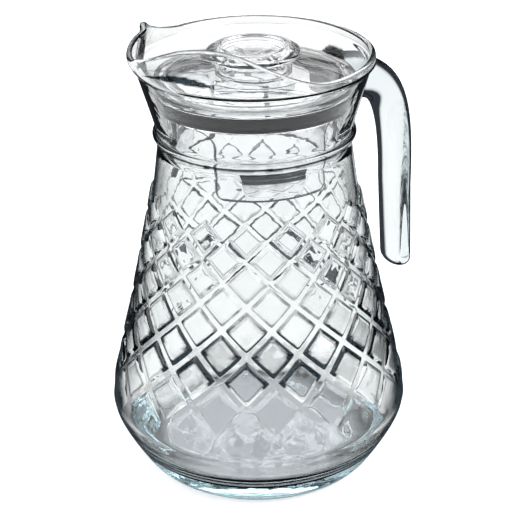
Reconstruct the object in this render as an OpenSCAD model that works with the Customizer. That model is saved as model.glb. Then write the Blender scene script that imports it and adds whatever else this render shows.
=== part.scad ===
// Glass pitcher with a drop-in lid: a pressed glass jug with a raised diamond
// net, a winged pouring spout and an open-ended glass handle, closed by a clear
// plastic lid with three snap legs, a hollow knob and a soft seal ring.
// Millimetres, +Z up, the jug stands on z = 0 and the spout points along +X.

/* [Jug body] */
// Radius of the ring that the jug stands on
foot_r = 60; // [50:0.5:62]
// Radius of the belly at its widest
belly_r = 78.8; // [74:0.2:82]
// Height of the widest place of the belly
belly_z = 34; // [30:1:38]
// Outer radius of the neck just under its ring
neck_r = 49.2; // [48.6:0.1:51]
// Thickness of the side walls
wall = 3.6; // [3:0.1:3.8]
// Thickness of the rim and the wing
lip_wall = 3.2; // [2.6:0.1:3.4]
// Thickness of the glass in the middle of the base
base_t = 13; // [10:0.5:15]

/* [Neck ring and collar] */
// Height of the collar, from the raised ring up to the line under the rim band
collar_h = 36.7; // [35:0.1:38]
// How far the neck ring stands out
ring_out = 2.1; // [1:0.1:3]
// Height of the sharp line under the rim band
rim_z = 220; // [218:0.5:224]
// Outer radius of the rim band
rim_r = 60.5; // [59:0.5:62]
// Height of the rim band away from the spout
rim_band = 4; // [3:0.1:6]

/* [Spout] */
// How far the tip of the spout reaches past the rim
spout_reach = 15.2; // [10:0.2:20]
// Half of the angle that the beak of the spout covers
spout_half = 27; // [22:1:36]
// How far the wing beside the spout rises over the rim band
wing_rise = 17.4; // [8:0.2:20]
// Half of the angle over which the wing sinks back to the rim
wing_half = 91; // [70:1:110]
// How far the tip lies below the crest of the wing
tip_dip = 4.6; // [0:0.2:6]

/* [Diamond net] */
// Number of diamonds round the body
net_columns = 16; // [12:1:18]
// Number of staggered rows of diamonds
net_rows = 8; // [6:1:8]
// Height of the lowest tips of the net
net_z = 47; // [44:1:52]
// Height of the lowest half diamond
net_step = 14.5; // [12:0.1:14.8]
// Height of each pillow of glass between the bands
pillow_h = 1.5; // [0.5:0.1:2.2]

/* [Handle] */
// Distance of the middle of the grip from the axis at its top
grip_x = 101; // [98:0.1:108]
// How much farther out the free end of the grip stands
grip_splay = 2.8; // [0:0.1:6]
// Width of the grip across the jug
grip_w = 21.5; // [18:0.5:26]
// Thickness of the grip
grip_t = 11.5; // [9:0.5:13]
// Height of the free lower end of the grip
grip_end_z = 73; // [60:1:90]
// Depth of the middle of the root below the line under the rim band
root_drop = 20.2; // [19.5:0.1:21.5]
// Height of the root
root_h = 26; // [22:0.5:28]
// Width of the root
root_w = 22.5; // [20:0.5:28]

/* [Lid] */
// Depth of the middle of the lid's top below the line under the rim band
lid_drop = 6; // [5:0.1:7]
// Depth of the lid's outer edge below the same line
lid_edge_drop = 8.6; // [7.5:0.1:9.5]
// Height of the lid's lip that the soft ring is stretched over
lip_h = 8.2; // [7:0.1:9]
// Thickness of the lid's plate and walls
lid_t = 2.2; // [1.8:0.1:2.6]
// Number of legs under the lid
leg_count = 3; // [3:1:3]
// Angle that each leg covers
leg_angle = 75; // [60:1:85]
// Depth of the legs' lower edges below the line under the rim band
leg_drop = 57.6; // [54:0.2:62]
// How far the lid was turned from the spout when it was set down, in degrees
lid_turned = 2; // [-15:1:15]
// Angle that the snap lug on each leg covers at its top
lug_angle = 42; // [30:1:50]
// Height of each snap lug
lug_h = 15; // [10:0.5:16]

/* [Knob] */
// Height of the knob's top above the line under the rim band
knob_rise = 7.8; // [6:0.1:10]
// Radius of the knob's top ring
knob_ring_r = 17; // [15:0.2:18]
// Radius of the knob's flange
knob_flange_r = 23.6; // [21:0.2:26]
// Radius of the knob's stem
knob_stem_r = 19.2; // [18:0.2:20.5]
// Depth of the dish in the knob's top
knob_dish = 4.4; // [2:0.1:5]

/* [Hidden] */
$fn = 96;

// Overrun of every cut past the face that it starts from
over = 1;
// Clearance between the lid's moving pieces and the jug or each other
gap = 0.3;

// The jug's surface is one lattice of staggered rows of points
lines = 4;
spokes = net_columns * lines;
pitch = 360 / net_columns;

// Where the two points beside each band and the two on each pillow lie
line_shares = [0.075, 0.358, 0.642, 0.925];
// How much of the pillow's height each of those four points has
pillow_shares = [0, 1, 1, 0];
// Each half diamond is this much of the height of the one below it
net_shrink_share = 0.955;

// Foot: height of its top, where the base plate and the body mould met
foot_h = 5;
foot_swell = 5;
foot_top_r = foot_r + foot_swell;
foot_edge_h = 1.5;
foot_edge_out = 2;
// Width of the ring that the jug stands on, and depth of the hollow inside it
stand_w = 9;
punt_h = 1.6;
// Fine steps and seams in the glass, and how far the shell reaches into the foot
seam = 0.9;
shell_in = 4.5;

// Outline of the body from the belly up to the neck: shares of that height
// and of the difference between the two radii
rise_shares = [0, 0.085, 0.18, 0.32, 0.5, 0.67, 0.85, 1];
draw_shares = [0, 0.06, 0.185, 0.361, 0.557, 0.725, 0.9, 1];
// Outline of the body from the foot up to the belly, drawn the same way
swell_shares = [0, 0.3, 0.58, 0.83, 1];
fill_shares = [0, 0.38, 0.7, 0.93, 1];
// Heights of the rows: shares of the way from the foot to the belly, and of
// the way from the corner of the inner floor to the neck
foot_row_shares = [0.17, 0.35, 0.56, 0.77, 1];
inner_row_shares = [0.82, 0.65, 0.48, 0.31, 0.14];
// Inner floor: shares of the floor radius and of the height of its corner
bowl_r_shares = [1, 0.965, 0.89, 0.765];
bowl_z_shares = [1, 0.55, 0.2, 0];

// Collar: lowest place above the ring, and its radius
ring_half = 2;
collar_throat = 3.5;
ring_z = rim_z - collar_h;
collar_z = ring_z + collar_throat;
collar_r = neck_r + ring_half / 5;
band_out = 1.4;
band_step = 0.8;
collar_top_r = rim_r - band_out;
collar_steps = 6;
// Above 1 the collar flares more towards its top
collar_flare = 1.05;
// Thin line under the neck ring
neck_line = 3.6;
line_step = 0.5;
neck_z = ring_z - 2 * neck_line;

// Wing: half angle of its level crest, place of the pinch and its half widths
// towards the spout and away from it
crest_half = 28;
pinch_at = 39.5;
pinch_half = 60;
pinch_tail = 41;
dip_half = 17;
beak_power = 1.15;
// How far the spokes are crowded towards the spout, in degrees
spout_crowd = 10;
lip_round = 1.2;
wing_steps = 3;

inner_neck_r = neck_r - wall;
inner_rim_r = rim_r - lip_wall - band_step;
// The lid keeps clear of the collar by a share of the collar's flare, and the wing
// is pinched as far in as still lets the lid pass
throat_share = 0.17;
lid_r = collar_in(rim_z - lid_edge_drop) - gap - throat_share * (inner_rim_r - inner_neck_r);
pinch = rim_r - band_step / 2 - lip_wall - gap - lid_r;

function clamp01(v) = min(1, max(0, v));

// A smooth bump: 1 at zero, 0 from one half width on
function bump(a, half) = 0.5 + 0.5 * cos(180 * clamp01(abs(a) / half));

// The angle from the spout, between -180 and 180
function from_spout(a) = a - 360 * round(a / 360);

function table_slope(x, y, i) =
    let (n = len(x) - 1, lo = max(0, i - 1), hi = min(n, i + 1))
    (y[hi] - y[lo]) / (x[hi] - x[lo]);

// A smooth curve through the points of a table
function smooth_at(x, y, v, i = 0) =
    i < len(x) - 2 && v > x[i + 1] ? smooth_at(x, y, v, i + 1) :
    let (
        d = x[i + 1] - x[i],
        t = clamp01((v - x[i]) / d),
        m0 = table_slope(x, y, i) * d,
        m1 = table_slope(x, y, i + 1) * d
    )
    y[i] * (2 * t ^ 3 - 3 * t ^ 2 + 1) + m0 * (t ^ 3 - 2 * t ^ 2 + t)
        + y[i + 1] * (3 * t ^ 2 - 2 * t ^ 3) + m1 * (t ^ 3 - t ^ 2);

// Outer radius of the body's plain form at a height, foot to neck
function body_r(z) =
    z < belly_z
        ? foot_top_r + (belly_r - foot_top_r)
            * smooth_at(swell_shares, fill_shares, (z - foot_h) / (belly_z - foot_h))
        : belly_r - (belly_r - neck_r)
            * smooth_at(rise_shares, draw_shares, (z - belly_z) / (neck_z - belly_z));

// Outer radius of the collar, from its throat up to the line under the rim band
function collar_out(z) =
    collar_r + (collar_top_r - collar_r) * clamp01((z - collar_z) / (rim_z - collar_z)) ^ collar_flare;

// Inner radius of the collar at a height
function collar_in(z) =
    inner_neck_r
        + (inner_rim_r - inner_neck_r) * clamp01((z - collar_z) / (rim_z - collar_z)) ^ collar_flare;

// Height of the net at a number of half diamonds above its lowest tips
function net_height(w) =
    net_z + net_step * (1 - net_shrink_share ^ w) / (1 - net_shrink_share);

// Height and outer radius of the rim's edge at an angle from the spout
function edge_h(a) =
    rim_band + wing_rise * bump(max(0, abs(a) - crest_half), wing_half - crest_half)
        - tip_dip * bump(a, dip_half);
function edge_r(a) =
    rim_r - band_step / 2 + spout_reach * bump(a, spout_half) ^ beak_power
        - pinch * bump(abs(a) - pinch_at, abs(a) < pinch_at ? pinch_half : pinch_tail);

// One point of the lattice on a plain row
function spoke_angle(k, m) = pitch * (0.5 + (2 * m + (k % 2) + 1) / (2 * lines));
function ring_point(r, a, z) = [r * cos(a), r * sin(a), z];
function crowded(a, share) = a - share * spout_crowd * sin(2 * a);
function plain_row(k, r, z, crowd = 0) =
    [for (m = [0:spokes - 1]) ring_point(r, crowded(spoke_angle(k, m), crowd), z)];

// One point of the lattice on the net: a and b count the crossing lines
function line_at(i) = floor(i / lines) + line_shares[i - lines * floor(i / lines)];
function pillow_at(i) = pillow_shares[i - lines * floor(i / lines)];
function net_point(k, m) =
    let (
        b = m - floor(k / 2),
        a = b + k,
        cell = floor(a / lines) - floor(b / lines),
        z = net_height(line_at(a) - line_at(b)),
        raised = cell >= 1 && cell <= net_rows ? pillow_h * pillow_at(a) * pillow_at(b) : 0
    )
    ring_point(body_r(z) + raised, pitch * (0.5 + (line_at(a) + line_at(b)) / 2), z);
function net_row(k) = [for (m = [0:spokes - 1]) net_point(k, m)];

// Rows of the wing: t runs from the line under the band (0) to the edge (1)
function wing_point(a, t, inset, level) =
    let (s = from_spout(a), h = edge_h(s) - lip_round, grow = sin(90 * t))
    ring_point((1 - grow) * (rim_r - inset) + grow * (edge_r(s) - inset), a, rim_z + h * t + level);
function wing_row(k, t, inset, level = 0) =
    [for (m = [0:spokes - 1]) wing_point(crowded(spoke_angle(k, m), 1), t, inset, level)];

// Rows in order: up the outside, over the lip and down the inside
start_z = [
    foot_h + seam / 2,
    for (share = foot_row_shares) foot_h + share * (belly_z - foot_h),
    (belly_z + net_z) / 2
];
start_rows = [
    [foot_top_r - shell_in, foot_h - seam],
    for (z = start_z) [body_r(z), z]
];
net_k = len(start_rows);
net_lines = lines * (net_rows + 1);
net_top = net_height(net_rows + 1);
after_net = [
    [body_r((net_top + neck_z) / 2), (net_top + neck_z) / 2],
    [neck_r, neck_z],
    [neck_r - line_step, neck_z + seam],
    [neck_r, ring_z - neck_line / 2],
    [neck_r + ring_out, ring_z - seam],
    [neck_r + ring_out, ring_z + seam],
    [collar_r, ring_z + ring_half],
    for (t = [1:collar_steps - 1])
        let (z = collar_z + (rim_z - collar_z) * t / collar_steps) [collar_out(z), z],
    [collar_top_r, rim_z - band_step],
];
collar_k = net_k + net_lines + 1;
wing_k = collar_k + len(after_net);
lip_k = wing_k + wing_steps + 1;
inside_k = lip_k + 1 + wing_steps + 1;

// The inner floor rises into the walls through a round corner
corner_z = belly_z - seam * 3;
floor_r = body_r(corner_z) - wall;
inner_z = [for (share = inner_row_shares) corner_z + share * (neck_z - corner_z)];
inner_rows = [
    for (t = [collar_steps - 1:-1:1])
        let (z = collar_z + (rim_z - collar_z) * t / collar_steps) [collar_in(z), z],
    [inner_neck_r, collar_z],
    [inner_neck_r, neck_z],
    for (z = inner_z) [body_r(z) - wall, z],
    for (i = [0:len(bowl_r_shares) - 1])
        [floor_r * bowl_r_shares[i], base_t + (corner_z - base_t) * bowl_z_shares[i]]
];

jug_rows = [
    for (i = [0:net_k - 1]) plain_row(i, start_rows[i][0], start_rows[i][1]),
    for (k = [0:net_lines]) net_row(k),
    for (i = [0:len(after_net) - 1])
        plain_row(collar_k + i, after_net[i][0], after_net[i][1], i / len(after_net)),
    for (i = [0:wing_steps]) wing_row(wing_k + i, i / wing_steps, 0),
    wing_row(lip_k, 1, lip_wall / 2, lip_round),
    for (i = [0:wing_steps]) wing_row(lip_k + 1 + i, 1 - i / wing_steps, lip_wall),
    for (i = [0:len(inner_rows) - 1])
        plain_row(inside_k + i, inner_rows[i][0], inner_rows[i][1], 1)
];
row_count = len(jug_rows);

function at(k, m) = k * spokes + m % spokes;
function strip(k, m) =
    k % 2 == 0
        ? [[at(k, m), at(k + 1, m), at(k, m + 1)], [at(k + 1, m), at(k + 1, m + 1), at(k, m + 1)]]
        : [[at(k, m), at(k + 1, m), at(k + 1, m + 1)], [at(k, m), at(k + 1, m + 1), at(k, m + 1)]];

module jug_shell() {
    faces = [
        [for (m = [0:spokes - 1]) m],
        for (k = [0:row_count - 2]) for (m = [0:spokes - 1]) for (f = strip(k, m)) f,
        [for (m = [spokes - 1:-1:0]) at(row_count - 1, m)]
    ];
    polyhedron([for (row = jug_rows) for (p = row) p], faces, convexity = 10);
}

// The round foot with its hollowed underside
module jug_foot() {
    rotate_extrude()
        polygon([
            [0, punt_h], [foot_r - stand_w - punt_h, punt_h], [foot_r - stand_w, 0], [foot_r, 0],
            [foot_r + foot_edge_out, foot_edge_h], [foot_top_r, foot_h], [0, foot_h]
        ]);
}

module glass_jug() {
    color("azure")
        union() {
            jug_shell();
            jug_foot();
        }
}

// Handle: sides of its oval section and rings along its bend and grip
grip_sides = 16;
bend_rings = 10;
grip_rings = 3;
end_rings = 4;
// How far the root starts inside the collar before it is cut to fit
root_in = 4;
// Pull of the bend's two ends on its curve
root_pull = 28;
root_fall = 9;
bend_pull = 3;
bend_drop = 73;
root_power = 0.8;
// Share of the root's extra size that is left at the end of the bend
bend_share = 0.11;
end_round = 7;

// Lid: heights of its top, outer edge and wall
lid_top_z = rim_z - lid_drop;
lid_edge_z = rim_z - lid_edge_drop;
lid_wall_drop = 11.4;
lid_wall_z = rim_z - lid_wall_drop;
lid_flat_r = knob_flange_r + lid_t;
lid_round = 0.8;
// What goes down through the pinched throat stays clear of it, and of the collar
function fit_r(z, clear) = min(collar_in(z) - clear, lid_r);

// Soft ring: two lobes round the lip of the lid
seal_groove = 1.1;
seal_t = 2.2;
groove_share = 0.24;
seal_low_z = lid_wall_z - lip_h;
lip_r = fit_r(seal_low_z, gap) - seal_t;
lip_bead = 0.7;
lip_bead_h = 1;

// Legs: they pass down through the neck with a clearance
lug_out = 1.8;
lug_r = min(inner_neck_r * cos(180 / spokes) - gap, lid_r);
leg_r = min(lug_r - lug_out, lip_r - gap);
leg_z = rim_z - leg_drop;
leg_round = 4;
leg_flare = 7.5;
leg_flare_drop = 4;
lug_taper = 3;
lug_ramp = 5;
lug_lead = 2;

// Knob: the places of its outline
knob_top_z = rim_z + knob_rise;
knob_ring_t = 1.6;
knob_lip = 0.5;
flange_top = 2.8;
flange_edge = 1.2;
flange_low = 5.2;
rib_t = 1.4;
rib_h = 3;
boss_h = 1.5;

function bend_at(p, t) =
    (1 - t) ^ 3 * p[0] + 3 * (1 - t) ^ 2 * t * p[1] + 3 * (1 - t) * t ^ 2 * p[2] + t ^ 3 * p[3];

// Middle line of the handle, from the collar to the free end
root_z = rim_z - root_drop;
root_r = collar_out(root_z);
bend_points = [
    [root_r - root_in, root_z], [root_r + root_pull, root_z - root_fall],
    [grip_x, root_z - bend_pull], [grip_x, root_z - bend_drop]
];
grip_low = [grip_x + grip_splay, grip_end_z];
function grip_point(t) = (1 - t) * bend_points[3] + t * grip_low;
grip_length = root_z - bend_drop - grip_end_z;

// Each ring: [middle, share of the root's size, scale of the section]
handle_rings = [
    for (i = [0:bend_rings]) let (t = i / bend_rings)
        [bend_at(bend_points, t), (1 - (1 - bend_share) * t) ^ root_power, 1],
    for (i = [1:grip_rings])
        [grip_point(i / grip_rings * (1 - end_round / grip_length)),
            (bend_share * (1 - i / grip_rings)) ^ root_power, 1],
    for (i = [1:end_rings]) let (a = 84 * i / end_rings)
        [grip_point(1 - end_round * (1 - sin(a)) / grip_length), 0, cos(a)]
];

function heading(i) =
    let (
        d = handle_rings[min(i + 1, len(handle_rings) - 1)][0] - handle_rings[max(i - 1, 0)][0]
    )
    d / norm(d);

function handle_ring(i) =
    let (
        middle = handle_rings[i][0],
        root = handle_rings[i][1],
        size = handle_rings[i][2],
        h = heading(i),
        w = size * (grip_w + root * (root_w - grip_w)) / 2,
        t = size * (grip_t + root * (root_h - grip_t)) / 2
    )
    [for (j = [0:grip_sides - 1]) let (a = 360 * j / grip_sides)
        [-(middle[0] + h[1] * t * cos(a)), w * sin(a), middle[1] - h[0] * t * cos(a)]];

module handle_form() {
    n = grip_sides;
    last = len(handle_rings) - 1;
    faces = [
        [for (j = [n - 1:-1:0]) j],
        for (i = [0:last - 1]) for (j = [0:n - 1])
            [i * n + j, i * n + (j + 1) % n, (i + 1) * n + (j + 1) % n, (i + 1) * n + j],
        [for (j = [0:n - 1]) last * n + j]
    ];
    polyhedron([for (i = [0:last]) for (p = handle_ring(i)) p], faces, convexity = 4);
}

// The collar's outside, which the handle's root is fused to
module collar_form() {
    rows = [for (row = after_net) if (row[1] > ring_z + seam) row];
    rotate_extrude()
        polygon([
            [0, rows[0][1]],
            for (row = rows) row,
            [0, rows[len(rows) - 1][1]]
        ]);
}

module handle() {
    color("azure")
        difference() {
            handle_form();
            collar_form();
        }
}

// Plate, rim and lip of the lid, turned round the axis
module lid_plate() {
    under = lid_edge_z - lid_t;
    rotate_extrude()
        polygon([
            [0, lid_top_z], [lid_flat_r, lid_top_z], [lid_r - lid_round, lid_edge_z],
            [lid_r, lid_edge_z - lid_round], [fit_r(lid_wall_z, 3 * gap), lid_wall_z],
            [lip_r, lid_wall_z], [lip_r, seal_low_z], [lip_r + lip_bead, seal_low_z - gap],
            [lip_r + lip_bead, seal_low_z - lip_bead_h], [lip_r - lid_t, seal_low_z - lip_bead_h],
            [lip_r - lid_t, under], [lid_flat_r, lid_top_z - lid_t], [0, lid_top_z - lid_t]
        ]);
}

// A block that keeps one leg's outline: rounded below, flared where it meets
// the plate; it is drawn flat and pushed out along the leg's middle
module leg_outline(half, round_r) {
    top = lid_top_z - lid_t / 2;
    flare_z = seal_low_z - leg_flare - leg_flare_drop;
    difference() {
        union() {
            translate([-half, leg_z + round_r])
                square([2 * half, top - leg_z - round_r]);
            translate([-half + round_r, leg_z])
                square([2 * (half - round_r), top - leg_z]);
            for (side = [-1, 1])
                translate([side * (half - round_r), leg_z + round_r])
                    circle(round_r);
            translate([-half - leg_flare, flare_z])
                square([2 * (half + leg_flare), top - flare_z]);
        }
        for (side = [-1, 1])
            translate([side * (half + leg_flare), flare_z])
                circle(leg_flare);
    }
}

module push_out(length) {
    rotate([0, 0, 90])
        rotate([90, 0, 0])
            linear_extrude(length)
                children();
}

module turned_band(inner, outer, low, high) {
    rotate_extrude()
        translate([inner, low])
            square([outer - inner, high - low]);
}

// One leg: a curved panel with its snap lug, pointing along +X
module leg() {
    half = leg_r * sin(leg_angle / 2);
    lug_half = lug_r * sin(lug_angle / 2);
    intersection() {
        turned_band(leg_r - lid_t, leg_r, leg_z, lid_edge_z - lid_t / 2);
        push_out(belly_r) leg_outline(half, leg_round);
    }
    intersection() {
        rotate_extrude()
            polygon([
                [leg_r - lid_t / 2, leg_z + lug_lead / 2], [leg_r, leg_z + lug_lead / 2],
                [lug_r, leg_z + lug_lead + lug_out], [lug_r, leg_z + lug_h - lug_ramp],
                [leg_r - lid_t / 2, leg_z + lug_h]
            ]);
        push_out(belly_r)
            polygon([
                [-lug_half, leg_z + lug_h], [lug_half, leg_z + lug_h],
                [lug_half - lug_taper, leg_z], [lug_taper - lug_half, leg_z]
            ]);
    }
}

module lid_body() {
    color("whitesmoke")
        union() {
            lid_plate();
            for (i = [0:leg_count - 1])
                rotate([0, 0, lid_turned + 360 / leg_count * (i + 0.5)])
                    leg();
            turned_band(
                knob_stem_r - 2 * lid_t, knob_stem_r - lid_t - gap, lid_top_z - lid_t / 2,
                lid_top_z + boss_h
            );
        }
}

// Hollow knob: a dished top ring on a flange and a stem
module lid_knob() {
    dish_z = knob_top_z - knob_dish;
    hollow_r = knob_stem_r - lid_t;
    color("whitesmoke")
        union() {
            difference() {
                rotate_extrude()
                    polygon([
                        [0, lid_top_z], [knob_stem_r, lid_top_z],
                        [knob_stem_r - knob_lip, knob_top_z - flange_low - flange_edge],
                        [knob_flange_r - knob_lip, knob_top_z - flange_low],
                        [knob_flange_r, knob_top_z - flange_low + flange_edge],
                        [knob_flange_r - knob_lip, knob_top_z - flange_top],
                        [(knob_flange_r + knob_ring_r) / 2, knob_top_z - flange_edge],
                        [knob_ring_r, knob_top_z - knob_lip], [knob_ring_r - knob_lip, knob_top_z],
                        [knob_ring_r - knob_ring_t, knob_top_z],
                        [knob_ring_r - knob_ring_t - knob_lip, dish_z], [0, dish_z]
                    ]);
                translate([0, 0, lid_top_z - over])
                    cylinder(h = dish_z - lid_t - lid_top_z + over, r = hollow_r);
            }
            intersection() {
                translate([0, 0, dish_z - lid_t - rib_h])
                    cylinder(h = rib_h + lid_t / 2, r = hollow_r + lid_t / 2);
                for (a = [0, 90])
                    rotate([0, 0, a])
                        translate([-knob_stem_r, -rib_t / 2, dish_z - lid_t - rib_h])
                            cube([2 * knob_stem_r, rib_t, rib_h + lid_t / 2]);
            }
        }
}

module seal_ring() {
    inner = lip_r + gap / 3;
    low = seal_low_z + gap / 3;
    high = lid_wall_z - gap / 3;
    groove_z = low + (high - low) * groove_share;
    color("gainsboro")
        rotate_extrude()
            polygon([
                [inner, low], [fit_r(low, gap) - seal_groove / 2, low],
                [fit_r(low + seal_groove / 2, gap), low + seal_groove / 2],
                [fit_r(groove_z - seal_groove / 2, gap), groove_z - seal_groove / 2],
                [fit_r(groove_z, gap) - seal_groove, groove_z],
                [fit_r(groove_z + seal_groove / 2, gap), groove_z + seal_groove / 2],
                [fit_r(high - seal_groove / 2, gap), high - seal_groove / 2],
                [fit_r(high, gap) - seal_groove / 2, high], [inner, high]
            ]);
}

glass_jug();
handle();
lid_body();
lid_knob();
seal_ring();
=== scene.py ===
"""Dressed scene of a pressed glass pitcher with a clear drop-in lid.

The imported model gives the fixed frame: metres, +Z up, the spout towards +X and
the handle on the -X side. Sizes in the classes below are in millimetres and
angles in degrees, unless a line says otherwise.
"""

import logging
import math
from dataclasses import dataclass
from enum import Enum
from typing import Sequence

import bmesh
import bpy
import numpy as np
from mathutils import Matrix, Vector


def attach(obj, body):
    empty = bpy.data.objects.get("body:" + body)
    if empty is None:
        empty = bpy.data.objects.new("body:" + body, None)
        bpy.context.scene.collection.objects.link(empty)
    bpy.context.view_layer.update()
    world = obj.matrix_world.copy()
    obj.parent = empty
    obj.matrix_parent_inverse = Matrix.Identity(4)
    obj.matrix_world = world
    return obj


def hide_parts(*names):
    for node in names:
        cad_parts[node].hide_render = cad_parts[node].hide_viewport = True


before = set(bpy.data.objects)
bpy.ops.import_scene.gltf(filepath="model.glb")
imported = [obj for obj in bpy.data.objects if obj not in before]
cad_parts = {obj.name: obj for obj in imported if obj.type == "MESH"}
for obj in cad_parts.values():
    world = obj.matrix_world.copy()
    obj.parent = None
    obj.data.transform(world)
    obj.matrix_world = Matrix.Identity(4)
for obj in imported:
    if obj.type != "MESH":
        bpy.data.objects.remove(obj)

LOG = logging.getLogger("pitcher")
MM = 0.001
SHARP_DEGREES = 38.0
# Value of full painted shade in the marks
FULL_PAINTED_SHADE = 0.97

Table = tuple[tuple[float, ...], tuple[float, ...]]
Tones = tuple[tuple[float, str], ...]


class Body(Enum):
    """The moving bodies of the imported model."""

    JUG = "jug"
    SEAL = "lid_seal"
    LID = "lid"


class Slot(Enum):
    """The record's material slots."""

    JUG_GLASS = "jug_glass"
    HANDLE_GLASS = "handle_glass"
    LID_PLASTIC = "lid_plastic"
    SEAL_RUBBER = "seal_rubber"


def srgb(hex_code: str) -> tuple[float, float, float, float]:
    """Turn an sRGB hex colour into Blender's linear colour.

    Args:
        hex_code: six hex digits.

    Returns:
        Linear red, green and blue, and alpha 1.
    """
    parts = [int(hex_code[i : i + 2], 16) / 255 for i in (0, 2, 4)]
    linear = [c / 12.92 if c <= 0.04045 else ((c + 0.055) / 1.055) ** 2.4 for c in parts]
    return (*linear, 1.0)


def smoothstep(value: np.ndarray | float) -> np.ndarray | float:
    """Ease a value between 0 and 1, clamped outside."""
    t = np.clip(value, 0.0, 1.0)
    return t * t * (3 - 2 * t)


def bump(angle: np.ndarray, half: float) -> np.ndarray:
    """Give a smooth bump: 1 at zero and 0 from one half width on."""
    return 0.5 + 0.5 * np.cos(np.pi * np.clip(np.abs(angle) / half, 0.0, 1.0))


def table_curve(xs: Sequence[float], ys: Sequence[float], at: np.ndarray) -> np.ndarray:
    """Follow a smooth cubic curve through the points of a table.

    Args:
        xs: rising places of the table.
        ys: values of the table.
        at: places to read the curve at.

    Returns:
        The curve's values.
    """
    x, y = np.asarray(xs, float), np.asarray(ys, float)
    slope = np.empty(len(x))
    slope[1:-1] = (y[2:] - y[:-2]) / (x[2:] - x[:-2])
    slope[0] = (y[1] - y[0]) / (x[1] - x[0])
    slope[-1] = (y[-1] - y[-2]) / (x[-1] - x[-2])
    i = np.clip(np.searchsorted(x, at, side="left") - 1, 0, len(x) - 2)
    d = x[i + 1] - x[i]
    t = np.clip((at - x[i]) / d, 0.0, 1.0)
    return (
        y[i] * (2 * t**3 - 3 * t**2 + 1)
        + slope[i] * d * (t**3 - 2 * t**2 + t)
        + y[i + 1] * (3 * t**2 - 2 * t**3)
        + slope[i + 1] * d * (t**3 - t**2)
    )


def rounded(corners: Sequence[tuple[float, float, float]], steps: int = 6) -> np.ndarray:
    """Round the corners of an open outline with arcs.

    Args:
        corners: (radius from the axis, height, corner radius) of each corner.
        steps: points on each arc.

    Returns:
        The outline's points as an array of (radius, height).
    """
    pts = [np.array(c[:2], float) for c in corners]
    out: list[np.ndarray] = [pts[0]]
    for i in range(1, len(pts) - 1):
        p, size = pts[i], corners[i][2]
        back, ahead = pts[i - 1] - p, pts[i + 1] - p
        lb, la = np.linalg.norm(back), np.linalg.norm(ahead)
        cut = min(size, 0.45 * lb, 0.45 * la)
        if cut < 1e-6:
            out.append(p)
            continue
        a, b = p + back / lb * cut, p + ahead / la * cut
        for t in np.linspace(0, 1, steps):
            out.append((1 - t) ** 2 * a + 2 * t * (1 - t) * p + t**2 * b)
    out.append(pts[-1])
    return np.array(out)


def polar(r: np.ndarray | float, angle: np.ndarray, z: np.ndarray | float) -> np.ndarray:
    """Give points at a radius, an angle in radians and a height."""
    return np.stack(np.broadcast_arrays(r * np.cos(angle), r * np.sin(angle), z), 1)


def bridge(low: Sequence[int], high: Sequence[int], loop: bool = True) -> list[list[int]]:
    """Join two rows of corners with quads.

    Args:
        low: corner numbers of the first row.
        high: corner numbers of the second row.
        loop: whether the rows close on themselves.

    Returns:
        The quads.
    """
    n = len(low)
    return [[low[j], low[(j + 1) % n], high[(j + 1) % n], high[j]] for j in range(n if loop else n - 1)]


def link(name: str, data: bpy.types.ID) -> bpy.types.Object:
    """Make an object of a mesh, lamp or camera and link it to the scene.

    Args:
        name: the object's name.
        data: what it shows.

    Returns:
        The new object.
    """
    obj = bpy.data.objects.new(name, data)
    bpy.context.scene.collection.objects.link(obj)
    return obj


def make_object(name: str, verts: np.ndarray, faces: Sequence[Sequence[int]]) -> bpy.types.Object:
    """Make a smooth-shaded mesh object at the origin.

    Args:
        name: the piece's name.
        verts: points in millimetres.
        faces: corner numbers of each face.

    Returns:
        The new object, linked to the scene.
    """
    mesh = bpy.data.meshes.new(name)
    mesh.from_pydata((np.asarray(verts, float) * MM).tolist(), [], [list(f) for f in faces])
    mesh.validate()
    shell = bmesh.new()
    shell.from_mesh(mesh)
    bmesh.ops.recalc_face_normals(shell, faces=shell.faces)
    shell.to_mesh(mesh)
    shell.free()
    mesh.polygons.foreach_set("use_smooth", np.ones(len(mesh.polygons), bool))
    mesh.update()
    return link(name, mesh)


def revolve(name: str, outline: np.ndarray, sides: int) -> bpy.types.Object:
    """Turn an outline round the Z axis; its two ends lie on the axis or meet.

    Args:
        name: the piece's name.
        outline: points of (radius, height), counter-clockwise seen from -Y.
        sides: number of steps round the axis.

    Returns:
        The closed mesh object.
    """
    angles = np.arange(sides) * 2 * np.pi / sides
    verts: list[tuple[float, float, float]] = []
    rings: list[list[int]] = []
    for r, z in outline:
        if r < 1e-6:
            rings.append([len(verts)] * sides)
            verts.append((0.0, 0.0, float(z)))
        else:
            rings.append(list(range(len(verts), len(verts) + sides)))
            verts.extend(zip(r * np.cos(angles), r * np.sin(angles), np.full(sides, z)))
    closed = outline[0][0] > 1e-6
    faces: list[list[int]] = []
    pairs = list(zip(rings, rings[1:])) + ([(rings[-1], rings[0])] if closed else [])
    for low, high in pairs:
        for quad in bridge(low, high):
            face = [v for n, v in enumerate(quad) if v != quad[n - 1]]
            if len(face) > 2:
                faces.append(face)
    return make_object(name, np.array(verts), faces)


def mark_points(obj: bpy.types.Object, name: str, values: np.ndarray) -> None:
    """Store one number for each point of a mesh, for its finish to read."""
    obj.data.attributes.new(name, "FLOAT", "POINT").data.foreach_set("value", values)


def apply_modifiers(obj: bpy.types.Object) -> None:
    """Bake an object's modifiers into its mesh.

    Args:
        obj: the piece.
    """
    graph = bpy.context.evaluated_depsgraph_get()
    mesh = bpy.data.meshes.new_from_object(obj.evaluated_get(graph))
    obj.modifiers.clear()
    obj.data = mesh


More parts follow.
